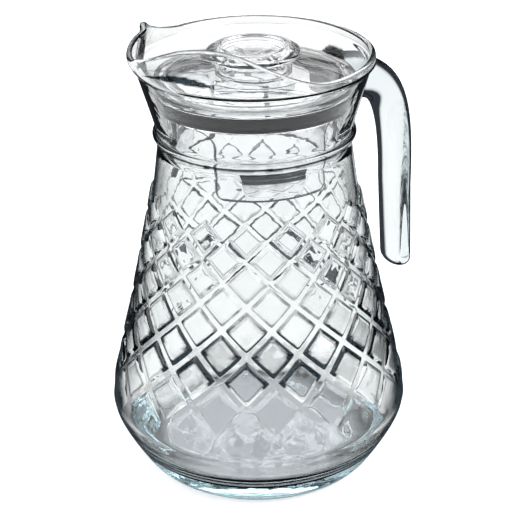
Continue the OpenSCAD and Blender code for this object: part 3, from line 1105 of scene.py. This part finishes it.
@dataclass
class HandleForm:
    """The open-ended glass handle, drawn from a gather on the collar."""

    jug: JugForm
    grip_x: float = 101.0
    grip_splay: float = 2.8
    grip_w: float = 21.5
    grip_t: float = 11.5
    grip_end_z: float = 73.0
    root_z: float = 199.8
    root_h: float = 26.0
    root_w: float = 22.5
    root_in: float = 4.0
    root_pull: float = 28.0
    root_fall: float = 9.0
    bend_pull: float = 3.0
    bend_drop: float = 73.0
    root_power: float = 0.8
    bend_share: float = 0.11
    end_round: float = 7.0
    sides: int = 48
    sink: float = 0.3
    root_painted_shade: float = 0.95
    root_rings: int = 24
    root_ease: float = 1.3
    cap_shares: tuple[float, ...] = (0.66, 0.33)

    def spine(self) -> list[tuple[np.ndarray, float, float]]:
        """Lay the handle's middle line out from the collar down to the open end.

        Returns:
            Middle, share of the root's size and scale of each ring.
        """
        root_r = float(self.jug.collar_out(self.root_z))
        p = [
            np.array([root_r - self.root_in, self.root_z]),
            np.array([root_r + self.root_pull, self.root_z - self.root_fall]),
            np.array([self.grip_x, self.root_z - self.bend_pull]),
            np.array([self.grip_x, self.root_z - self.bend_drop]),
        ]
        low = np.array([self.grip_x + self.grip_splay, self.grip_end_z])
        length = self.root_z - self.bend_drop - self.grip_end_z
        rings = []
        for t in np.linspace(0, 1, 40):
            middle = (1 - t) ** 3 * p[0] + 3 * (1 - t) ** 2 * t * p[1] + 3 * (1 - t) * t**2 * p[2] + t**3 * p[3]
            rings.append((middle, (1 - (1 - self.bend_share) * t) ** self.root_power, 1.0))
        for t in np.linspace(0, 1, 22)[1:]:
            s = t * (1 - self.end_round / length)
            rings.append(((1 - s) * p[3] + s * low, (self.bend_share * (1 - t)) ** self.root_power, 1.0))
        for a in np.radians(np.linspace(0, 87, 10)[1:]):
            s = 1 - self.end_round * (1 - math.sin(a)) / length
            rings.append(((1 - s) * p[3] + s * low, 0.0, math.cos(a)))
        return rings

    def sweep(self) -> np.ndarray:
        """Lay the oval section along the spine.

        Returns:
            The section's points at each ring.
        """
        spine = self.spine()
        j = np.arange(self.sides) * 2 * np.pi / self.sides
        rows = []
        for i, (middle, root, size) in enumerate(spine):
            d = spine[min(i + 1, len(spine) - 1)][0] - spine[max(i - 1, 0)][0]
            d = d / np.linalg.norm(d)
            w = size * (self.grip_w + root * (self.root_w - self.grip_w)) / 2
            t = size * (self.grip_t + root * (self.root_h - self.grip_t)) / 2
            rows.append(
                np.stack([-(middle[0] + d[1] * t * np.cos(j)), w * np.sin(j), middle[1] - d[0] * t * np.cos(j)], 1)
            )
        return np.array(rows)

    def fit_root(self, path: np.ndarray) -> np.ndarray:
        """Start each side where it leaves the collar, and close up its first rings.

        Args:
            path: the section's points at each ring.

        Returns:
            The same, with its first rings fitted to the collar.
        """
        inside = np.hypot(path[..., 0], path[..., 1]) - (self.jug.collar_out(path[..., 2]) - self.sink)
        keep = self.root_rings
        steps = np.linspace(0, 1, keep) ** self.root_ease
        fitted = np.zeros((keep, self.sides, 3))
        for s in range(self.sides):
            first = int(np.argmax(inside[:, s] > 0))
            start = 0.0
            if first:
                start = first - 1 + inside[first - 1, s] / (inside[first - 1, s] - inside[first, s])
            at = start + (keep - start) * steps
            i = np.clip(at.astype(int), 0, len(path) - 2)
            f = (at - i)[:, None]
            fitted[:, s] = path[i, s] * (1 - f) + path[i + 1, s] * f
        return np.concatenate([fitted, path[keep + 1 :]])

    def settle(self, points: np.ndarray) -> np.ndarray:
        """Move points in or out until they lie just under the collar's face.

        Args:
            points: the points, which are changed.

        Returns:
            The same points.
        """
        r = self.jug.collar_out(points[:, 2]) - self.sink
        points[:, :2] *= (r / np.hypot(points[:, 0], points[:, 1]))[:, None]
        return points

    def cap(self, ring: np.ndarray, row: Sequence[int], base: int, at_root: bool) -> tuple[list, list[list[int]]]:
        """Close one end with two smaller rings and a middle point.

        Args:
            ring: the end's points.
            row: their corner numbers.
            base: number of the first new point.
            at_root: whether the end lies on the collar, where its faces turn the other way.

        Returns:
            New points and faces.
        """
        middle = ring.mean(0)
        points, faces, previous = [], [], row
        for share in self.cap_shares:
            inner = middle + (ring - middle) * share
            current = range(base + len(points), base + len(points) + len(ring))
            points.extend(self.settle(inner) if at_root else inner)
            faces += bridge(previous, current)
            previous = current
        pole = base + len(points)
        points.append(self.settle(middle[None])[0] if at_root else middle)
        faces += [[a, b, pole] for a, b in zip(previous, [*previous[1:], previous[0]])]
        return points, [face[::-1] if at_root else face for face in faces]

    def build(self) -> bpy.types.Object:
        """Sweep the handle, fit its root to the collar and close both ends.

        Returns:
            The handle's object.
        """
        path = self.fit_root(self.sweep())
        n, count = self.sides, len(path)
        rings = [range(i * n, (i + 1) * n) for i in range(count)]
        faces = [quad for low, high in zip(rings, rings[1:]) for quad in bridge(low, high)]
        verts = path.reshape(-1, 3)
        caps: list[np.ndarray] = []
        for end, at_root in ((0, True), (count - 1, False)):
            points, more = self.cap(path[end], rings[end], len(verts) + len(caps), at_root)
            caps += points
            faces += more
        first = len(verts)
        verts = np.vstack([verts, caps])
        obj = make_object("glass_handle", verts, faces)
        # Painted shade: the root's first ring and its cap on the collar are near black
        values = np.zeros(len(verts))
        values[:n] = self.root_painted_shade
        values[first : first + len(self.cap_shares) * n + 1] = self.root_painted_shade
        mark_points(obj, "painted_shade", values)
        return obj


@dataclass
class LidForm:
    """The clear plastic lid: plate, lip, three snap legs, knob and soft ring."""

    jug: JugForm
    lid_t: float = 2.2
    lid_drop: float = 6.0
    lid_wall_drop: float = 11.4
    lip_h: float = 8.2
    gap: float = 0.3
    seal_t: float = 2.2
    seal_groove: float = 1.1
    groove_share: float = 0.24
    lip_bead: float = 0.7
    lip_bead_h: float = 1.0
    lid_round: float = 0.8
    leg_count: int = 3
    leg_angle: float = 75.0
    leg_drop: float = 57.6
    lid_turned: float = 2.0
    lug_angle: float = 42.0
    lug_h: float = 15.0
    lug_out: float = 1.8
    lug_taper: float = 3.0
    lug_ramp: float = 5.0
    lug_lead: float = 2.0
    leg_round: float = 4.0
    leg_flare: float = 7.5
    leg_flare_drop: float = 4.0
    knob_rise: float = 7.8
    knob_ring_r: float = 17.0
    knob_flange_r: float = 23.6
    knob_stem_r: float = 19.2
    knob_dish: float = 4.4
    knob_ring_t: float = 1.6
    knob_lip: float = 0.5
    flange_top: float = 2.8
    flange_edge: float = 1.2
    flange_low: float = 5.2
    rib_t: float = 1.4
    rib_h: float = 3.0
    boss_h: float = 1.5
    cad_spokes: int = 64
    sides: int = 192

    @property
    def top_z(self) -> float:
        """Height of the lid's top face."""
        return self.jug.rim_z - self.lid_drop

    @property
    def edge_z(self) -> float:
        """Height of the lid's outer edge."""
        return self.jug.rim_z - self.jug.lid_edge_drop

    @property
    def wall_z(self) -> float:
        """Height of the shoulder that the soft ring lies under."""
        return self.jug.rim_z - self.lid_wall_drop

    @property
    def low_z(self) -> float:
        """Height of the lower edge of the lip."""
        return self.wall_z - self.lip_h

    @property
    def lip_r(self) -> float:
        """Outer radius of the lip inside the soft ring."""
        return self.fit_r(self.low_z, self.gap) - self.seal_t

    @property
    def lug_r(self) -> float:
        """Outer radius of the snap lugs."""
        return self.jug.inner_neck_r * math.cos(math.pi / self.cad_spokes) - self.gap

    @property
    def leg_r(self) -> float:
        """Outer radius of the legs."""
        return self.lug_r - self.lug_out

    @property
    def leg_z(self) -> float:
        """Height of the legs' lower edge."""
        return self.jug.rim_z - self.leg_drop

    @property
    def flare_z(self) -> float:
        """Height from which the legs grow wider towards the lip."""
        return self.low_z - self.leg_flare - self.leg_flare_drop

    @property
    def lug_half(self) -> float:
        """Half of a lug's width."""
        return self.lug_r * math.sin(math.radians(self.lug_angle / 2))

    @staticmethod
    def bowed(r: float, s: np.ndarray, z: float) -> np.ndarray:
        """Points of a row across a bowed panel, at sideways places s."""
        return np.stack([np.sqrt(r**2 - s**2), s, np.full(len(s), z)], 1)

    def fit_r(self, z: float, clear: float) -> float:
        """Radius that stays clear of the collar and of the throat."""
        return min(float(self.jug.collar_in(z)) - clear, self.jug.lid_r)

    def plate(self) -> bpy.types.Object:
        """Make the plate with its shoulder and lip.

        Returns:
            The plate's object.
        """
        lid_r = self.jug.lid_r
        flat_r = self.knob_flange_r + self.lid_t
        under = self.edge_z - self.lid_t
        boss_r = self.knob_stem_r - self.lid_t - self.gap
        outline = rounded(
            [
                (0, self.top_z - self.lid_t, 0),
                (flat_r, self.top_z - self.lid_t, 0.8),
                (self.lip_r - self.lid_t, under, 1.2),
                (self.lip_r - self.lid_t, self.low_z - self.lip_bead_h, 0.5),
                (self.lip_r + self.lip_bead, self.low_z - self.lip_bead_h, 0.45),
                (self.lip_r + self.lip_bead, self.low_z - self.gap, 0.3),
                (self.lip_r, self.low_z, 0.3),
                (self.lip_r, self.wall_z, 0.4),
                (self.fit_r(self.wall_z, 3 * self.gap), self.wall_z, 0.5),
                (lid_r, self.edge_z - self.lid_round, 0.8),
                (lid_r - self.lid_round, self.edge_z, 1.0),
                (flat_r, self.top_z, 0.8),
                (boss_r + 0.4, self.top_z, 0.3),
                (boss_r, self.top_z + self.boss_h, 0.4),
                (self.knob_stem_r - 2 * self.lid_t, self.top_z + self.boss_h, 0.4),
                (self.knob_stem_r - 2 * self.lid_t, self.top_z, 0.4),
                (0, self.top_z, 0),
            ]
        )
        return revolve("lid_plate", outline, self.sides)

    def half_width(self, z: float) -> float:
        """Give half of a leg's width.

        Args:
            z: height on the leg.

        Returns:
            Half of the width there.
        """
        half = self.leg_r * math.sin(math.radians(self.leg_angle / 2))
        if z < self.leg_z + self.leg_round:
            d = self.leg_z + self.leg_round - z
            return half - self.leg_round + math.sqrt(max(self.leg_round**2 - d**2, 0.0))
        if z > self.flare_z:
            d = min(z - self.flare_z, self.leg_flare)
            return half + self.leg_flare - math.sqrt(self.leg_flare**2 - d**2)
        return half

    def leg_heights(self) -> np.ndarray:
        """Give the heights of a leg's rows, closer together at its rounded parts.

        Returns:
            The heights, rising.
        """
        top = self.edge_z - self.lid_t * 0.8
        bend = 1 - np.cos(np.linspace(0.12, math.pi / 2, 9))
        return np.concatenate(
            [
                self.leg_z + self.leg_round * bend,
                np.linspace(self.leg_z + self.leg_round, self.flare_z, 12)[1:],
                self.flare_z + self.leg_flare * np.sin(np.linspace(0, math.pi / 2, 9))[1:],
                np.linspace(self.flare_z + self.leg_flare, top, 6)[1:],
            ]
        )

    def leg(self, number: int) -> bpy.types.Object:
        """Make one leg: a curved panel and its snap lug.

        Args:
            number: which leg, from 0.

        Returns:
            The leg's object.
        """
        heights = self.leg_heights()
        across = np.concatenate([(-1, -0.978), np.linspace(-0.955, 0.955, 37), (0.978, 1)])
        outer, inner = (
            np.array([self.bowed(r, across * self.half_width(float(z)), z) for z in heights])
            for r in (self.leg_r, self.leg_r - self.lid_t)
        )
        verts, faces = self.panel(outer, inner)
        lug_verts, lug_faces = self.lug()
        faces += [[v + len(verts) for v in f] for f in lug_faces]
        verts = np.vstack([verts, lug_verts])
        turn = math.radians(self.lid_turned + 360 / self.leg_count * (number + 0.5))
        spin = np.array([[math.cos(turn), -math.sin(turn), 0], [math.sin(turn), math.cos(turn), 0], [0, 0, 1]])
        obj = make_object(f"lid_leg_{number + 1}", verts @ spin.T, faces)
        # Painted shade: near black on the leg's border and its lug's ramp
        mark_points(obj, "painted_shade", self.leg_shade(verts, len(heights), len(across)))
        soften_edges(obj, 0.45, 3)
        return obj

    def leg_shade(self, verts: np.ndarray, rows: int, cols: int) -> np.ndarray:
        """Give the painted shade on a leg's points: its border and the ramp of its lug.

        Args:
            verts: the leg's points before it is turned into place, the lug's last.
            rows: rows of each face of the panel.
            cols: points of each row.

        Returns:
            How much painted shade each point gets, from 0 to 1.
        """
        ramp_z, top_z = self.leg_z + self.lug_h - self.lug_ramp - 0.2, self.leg_z + self.lug_h + 0.1
        on_ramp = (verts[:, 2] > ramp_z) & (verts[:, 2] < top_z) & (np.abs(verts[:, 1]) < self.lug_half + 0.3)
        order = np.arange(len(verts))
        shown = rows * cols
        column = order % cols
        border = (order < 2 * shown) & ((column < 2) | (column > cols - 3) | (order % shown < 3 * cols))
        return np.where((order >= 2 * shown) & on_ramp | border, FULL_PAINTED_SHADE, 0.0)

    @staticmethod
    def panel(outer: np.ndarray, inner: np.ndarray) -> tuple[np.ndarray, list[list[int]]]:
        """Close two grids of points into one solid panel.

        Args:
            outer: grid of points of the outer face, rows going up.
            inner: the same grid on the inner face.

        Returns:
            Points and faces.
        """
        rows, cols = outer.shape[:2]
        verts = np.vstack([outer.reshape(-1, 3), inner.reshape(-1, 3)])
        off = rows * cols
        faces = []
        for i in range(rows - 1):
            for quad in bridge(range(i * cols, (i + 1) * cols), range((i + 1) * cols, (i + 2) * cols), False):
                faces += [quad, [v + off for v in quad[::-1]]]
        for j in range(cols - 1):
            faces.append([j + 1, j, j + off, j + 1 + off])
            a = (rows - 1) * cols + j
            faces.append([a, a + 1, a + 1 + off, a + off])
        for i in range(rows - 1):
            a, b = i * cols, (i + 1) * cols
            faces.append([a, b, b + off, a + off])
            a, b = a + cols - 1, b + cols - 1
            faces.append([b, a, a + off, b + off])
        return verts, faces

    def lug(self) -> tuple[np.ndarray, list[list[int]]]:
        """Make one snap lug: a wedge with a lead below and a ramp above.

        Returns:
            Points and faces.
        """
        leg_r, leg_z = self.leg_r, self.leg_z
        sunk = leg_r - 0.3
        outline = [
            (sunk, leg_z + self.lug_lead / 2),
            (leg_r, leg_z + self.lug_lead / 2),
            (self.lug_r, leg_z + self.lug_lead + self.lug_out),
            (self.lug_r, leg_z + self.lug_h - self.lug_ramp - 0.5),
            (self.lug_r, leg_z + self.lug_h - self.lug_ramp),
            (leg_r, leg_z + self.lug_h - 0.2),
            (sunk, leg_z + self.lug_h),
        ]
        cols = 33
        across = np.linspace(-1, 1, cols)
        verts = [
            self.bowed(r, across * (self.lug_half - self.lug_taper * (1 - (z - leg_z) / self.lug_h)), z)
            for r, z in outline
        ]
        rows = [range(i * cols, (i + 1) * cols) for i in range(len(outline))]
        faces = [quad for low, high in zip(rows, [*rows[1:], rows[0]]) for quad in bridge(low, high, False)]
        faces.append([row[0] for row in rows])
        faces.append([row[-1] for row in rows[::-1]])
        return np.vstack(verts), faces

    def knob(self) -> bpy.types.Object:
        """Make the hollow knob with its dished top ring, flange and stem.

        Returns:
            The knob's object.
        """
        top = self.jug.rim_z + self.knob_rise
        dish = top - self.knob_dish
        hollow = self.knob_stem_r - self.lid_t
        outline = rounded(
            [
                (0, dish - self.lid_t, 0),
                (hollow, dish - self.lid_t, 0.8),
                (hollow, self.top_z + 0.05, 0.25),
                (self.knob_stem_r, self.top_z + 0.05, 0.25),
                (self.knob_stem_r - self.knob_lip, top - self.flange_low - self.flange_edge, 0.9),
                (self.knob_flange_r - self.knob_lip, top - self.flange_low, 0.6),
                (self.knob_flange_r, top - self.flange_low + self.flange_edge, 0.9),
                (self.knob_flange_r - self.knob_lip, top - self.flange_top, 0.9),
                ((self.knob_flange_r + self.knob_ring_r) / 2, top - self.flange_edge, 1.5),
                (self.knob_ring_r, top - self.knob_lip, 0.5),
                (self.knob_ring_r - self.knob_lip, top, 0.5),
                (self.knob_ring_r - self.knob_ring_t, top, 0.5),
                (self.knob_ring_r - self.knob_ring_t - self.knob_lip, dish, 1.0),
                (0, dish, 0),
            ]
        )
        return revolve("knob_shell", outline, 144)

    def ribs(self) -> bpy.types.Object:
        """Make the crossed ribs under the knob's dish.

        Returns:
            The ribs' object.
        """
        dish = self.jug.rim_z + self.knob_rise - self.knob_dish
        high, low = dish - self.lid_t + 0.3, dish - self.lid_t - self.rib_h
        reach, half = self.knob_stem_r - self.lid_t + 0.3, self.rib_t / 2
        plan = [
            (half, half), (reach, half), (reach, -half), (half, -half), (half, -reach), (-half, -reach),
            (-half, -half), (-reach, -half), (-reach, half), (-half, half), (-half, reach), (half, reach),
        ][::-1]
        verts = [(x, y, low) for x, y in plan] + [(x, y, high) for x, y in plan]
        n = len(plan)
        faces = [[i, (i + 1) % n, n + (i + 1) % n, n + i] for i in range(n)]
        faces += [list(range(n - 1, -1, -1)), list(range(n, 2 * n))]
        obj = make_object("knob_ribs", np.array(verts), faces)
        soften_edges(obj, 0.3, 2)
        return obj

    def seal(self) -> bpy.types.Object:
        """Make the soft ring: two round lobes with a groove between them.

        Returns:
            The ring's object.
        """
        low, high = self.low_z + self.gap / 3, self.wall_z - self.gap / 3
        inner = self.lip_r + self.gap / 3
        groove = low + (high - low) * self.groove_share
        half = self.seal_groove / 2
        outline = rounded(
            [
                (inner, (low + high) / 2, 0),
                (inner, low, 0.3),
                (self.fit_r(low, self.gap) - half, low, 0.5),
                (self.fit_r(low + half, self.gap), low + half, 0.5),
                (self.fit_r(groove - half, self.gap), groove - half, 0.4),
                (self.fit_r(groove, self.gap) - self.seal_groove, groove, 0.3),
                (self.fit_r(groove + half, self.gap), groove + half, 0.4),
                (self.fit_r(high - half, self.gap), high - half, 0.5),
                (self.fit_r(high, self.gap) - half, high, 0.4),
                (inner, high, 0.3),
                (inner, (low + high) / 2 + 0.01, 0),
            ]
        )
        return revolve("soft_seal", outline[:-1], self.sides)


@dataclass
class Studio:
    """Floor, surroundings, soft lamps and the camera.

    The camera sees plain white. What is seen through the glass is white too,
    with a thin grey band and dark overhead, and under the foot a grey patch
    with a dark rim: a painted shadow of the jug on the floor. What the glass
    mirrors is dark low down and overhead. The bands give clear glass its dark
    lines.
    """

    distance: float = 800.0
    elevation: float = 26.2925
    azimuth: float = 50.0
    roll: float = -0.9302
    shift_x: float = 0.269
    shift_y: float = -1.673
    aim_z: float = 110.0
    lens_px: float = 1527.69
    frame_px: float = 512.0
    floor_size: float = 6000.0
    floor_gap: float = 0.2
    lamp_reach: float = 1600.0
    # Name, degrees round from the camera, degrees up, size in metres, watts
    lamps: tuple[tuple[str, float, float, float, float], ...] = (
        ("key_lamp", 60, 50, 1.2, 22), ("fill_lamp", -70, 35, 1.4, 12), ("back_lamp", 180, 55, 1.4, 14),
    )
    room_tones: Tones = (
        (0.0, "FFFFFF"), (0.17, "FFFFFF"), (0.19, "3A3D42"), (0.22, "3A3D42"), (0.25, "FFFFFF"),
        (0.76, "FFFFFF"), (0.81, "0C0D10"), (1.0, "0C0D10"),
    )
    mirror_tones: Tones = (
        (0.0, "1C1F24"), (0.30, "2A2E34"), (0.42, "F4F7FA"), (0.77, "F4F7FA"), (0.85, "3A3E44"), (1.0, "3A3E44"),
    )
    mirror_floor: str = "34383E"
    # Floor as seen through the glass: a grey patch and a dark rim under the foot, a painted shadow, then white
    floor_tones_with_painted_shadow: Tones = (
        (0.0, "AAACB1"), (0.0201, "ACAEB3"), (0.0222, "15181B"), (0.0252, "15181B"), (0.0273, "FFFFFF"),
        (1.0, "FFFFFF"),
    )
    floor_fade: float = 2500.0
    through_gain: float = 1.08
    sky_light: str = "E8EEF4"
    sky_strength: float = 0.55
    card: str = "F4F5F6"
    card_glow: float = 0.45

    def camera(self) -> None:
        """Place the camera at the photograph's viewing angle."""
        e, r, spin = (math.radians(v) for v in (self.elevation, self.roll, self.azimuth + 90))
        right, up = Vector((1, 0, 0)), Vector((0, math.sin(e), math.cos(e)))
        back = Vector((0, -math.cos(e), math.sin(e)))
        place_at = Vector((0, 0, self.aim_z)) + back * self.distance - right * self.shift_x - up * self.shift_y
        side = right * math.cos(r) + up * math.sin(r)
        top = up * math.cos(r) - right * math.sin(r)
        turn = Matrix.Rotation(spin, 3, "Z")
        axes = [turn @ v for v in (side, top, back)]
        data = bpy.data.cameras.new("camera")
        data.sensor_width = 36.0
        data.lens = 36.0 * self.lens_px / self.frame_px
        data.clip_end = 50.0
        obj = link("camera", data)
        rotation = Matrix([[a[i] for a in axes] for i in range(3)])
        obj.matrix_world = Matrix.Translation(turn @ place_at * MM) @ rotation.to_4x4()
        bpy.context.scene.camera = obj

    def world(self) -> None:
        """Make the surroundings that each kind of ray sees."""
        world = bpy.data.worlds.new("studio")
        bpy.context.scene.world = world
        world.use_nodes = True
        tree = world.node_tree
        tree.nodes.clear()
        coords = add_node(tree, "ShaderNodeTexCoord")
        axes = add_node(tree, "ShaderNodeSeparateXYZ", links={0: coords.outputs["Generated"]})
        room = add_node(tree, "ShaderNodeValToRGB", links={0: axes.outputs["Z"]})
        self.fill_ramp(room, self.room_tones)
        mirror = add_node(tree, "ShaderNodeValToRGB", links={0: axes.outputs["Z"]})
        self.fill_ramp(mirror, self.mirror_tones)
        light = add_node(tree, "ShaderNodeBackground", {"Color": srgb(self.sky_light), "Strength": self.sky_strength})
        through = add_node(tree, "ShaderNodeBackground", {"Strength": self.through_gain}, {"Color": room.outputs[0]})
        around = add_node(tree, "ShaderNodeBackground", {"Strength": 1.0}, {"Color": mirror.outputs[0]})
        white = add_node(tree, "ShaderNodeBackground", {"Color": srgb("FFFFFF"), "Strength": 1.0})
        self.by_ray(tree, "ShaderNodeOutputWorld", light, around, through, white)

    @staticmethod
    def by_ray(tree: bpy.types.NodeTree, output: str, *shaders: bpy.types.Node) -> None:
        """Show one shader to each kind of ray.

        Args:
            tree: the node tree.
            output: Blender's name of the output node.
            shaders: what diffuse, glossy, transmitted and camera rays see.
        """
        path = add_node(tree, "ShaderNodeLightPath")
        seen = shaders[0]
        for kind, shader in zip(("Is Glossy Ray", "Is Transmission Ray", "Is Camera Ray"), shaders[1:]):
            seen = add_node(
                tree, "ShaderNodeMixShader", links={0: path.outputs[kind], 1: seen.outputs[0], 2: shader.outputs[0]}
            )
        add_node(tree, output, links={"Surface": seen.outputs[0]})

    @staticmethod
    def fill_ramp(node: bpy.types.Node, tones: Sequence[tuple[float, str]]) -> None:
        """Give a colour ramp its stops.

        Args:
            node: the ramp.
            tones: place and sRGB hex colour of each stop, in rising order.
        """
        stops = node.color_ramp.elements
        while len(stops) < len(tones):
            stops.new(1.0)
        for stop, (at, tone) in zip(stops, tones):
            stop.position = at
            stop.color = srgb(tone)

    def floor(self) -> None:
        """Make the pale floor, which keeps the object's shadow for the camera; seen through the glass it shows a
        painted shadow under the foot.
        """
        half = self.floor_size / 2
        mesh = bpy.data.meshes.new("floor")
        corners = [(-half, -half), (half, -half), (half, half), (-half, half)]
        mesh.from_pydata([(x * MM, y * MM, -self.floor_gap * MM) for x, y in corners], [], [[0, 1, 2, 3]])
        obj = link("floor", mesh)
        material, tree = Finish("white_card").begin()
        coords = add_node(tree, "ShaderNodeTexCoord")
        reach = add_node(tree, "ShaderNodeVectorMath", {"operation": "LENGTH"}, {0: coords.outputs["Object"]})
        share = add_node(
            tree, "ShaderNodeMath", {"operation": "DIVIDE", 1: self.floor_fade * MM}, {0: reach.outputs["Value"]}
        )
        tone = add_node(tree, "ShaderNodeValToRGB", links={0: share.outputs[0]})
        self.fill_ramp(tone, self.floor_tones_with_painted_shadow)
        card = add_node(tree, "ShaderNodeBsdfDiffuse", {"Color": srgb(self.card)})
        # Seen through the glass, the floor shows the painted shadow instead of its lit card
        under = add_node(tree, "ShaderNodeEmission", {"Strength": self.through_gain}, {"Color": tone.outputs[0]})
        glow = add_node(tree, "ShaderNodeEmission", {"Color": srgb("FFFFFF"), "Strength": self.card_glow})
        lit = add_node(tree, "ShaderNodeAddShader", links={0: card.outputs[0], 1: glow.outputs[0]})
        mirror = add_node(tree, "ShaderNodeEmission", {"Color": srgb(self.mirror_floor), "Strength": 1.0})
        self.by_ray(tree, "ShaderNodeOutputMaterial", card, mirror, under, lit)
        mesh.materials.append(material)

    def lamp(self, name: str, azimuth: float, elevation: float, size: float, power: float) -> None:
        """Hang one soft lamp that aims at the object.

        Args:
            name: the lamp's name.
            azimuth: degrees round the object from +X.
            elevation: degrees over the floor.
            size: edge of the lamp in metres.
            power: watts.
        """
        data = bpy.data.lights.new(name, "AREA")
        data.shape = "SQUARE"
        data.size = size
        data.energy = power
        obj = link(name, data)
        a, e = math.radians(azimuth), math.radians(elevation)
        way = Vector((math.cos(e) * math.cos(a), math.cos(e) * math.sin(a), math.sin(e)))
        target = Vector((0, 0, self.aim_z * MM))
        obj.location = target + way * (self.lamp_reach * MM)
        obj.rotation_euler = way.to_track_quat("Z", "Y").to_euler()

    def build(self) -> None:
        """Set up the whole studio."""
        self.camera()
        self.world()
        self.floor()
        for name, round_from_camera, *rest in self.lamps:
            self.lamp(name, self.azimuth + round_from_camera, *rest)
        bpy.context.scene.view_settings.view_transform = "Standard"


def main() -> None:
    """Build every piece, dress it and set up the studio."""
    logging.basicConfig(level=logging.INFO, format="%(name)s: %(message)s")
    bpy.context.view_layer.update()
    jug = JugForm()
    lid = LidForm(jug)
    finishes = (PressedGlass(), DrawnGlass(), MouldedPlastic(), LegPlastic(), MouldedSilicone())
    glass, handle_glass, plastic, leg_plastic, silicone = (finish.build() for finish in finishes)

    place(jug.build(), Body.JUG, "glass_jug", glass)
    place(HandleForm(jug).build(), Body.JUG, "handle", handle_glass)
    place(lid.plate(), Body.LID, "lid_body", plastic)
    for number in range(lid.leg_count):
        place(lid.leg(number), Body.LID, "lid_body", leg_plastic)
    for piece in (lid.knob(), lid.ribs()):
        place(piece, Body.LID, "lid_knob", plastic)
    place(lid.seal(), Body.SEAL, "seal_ring", silicone)

    Studio().build()


if __name__ == "__main__":
    main()
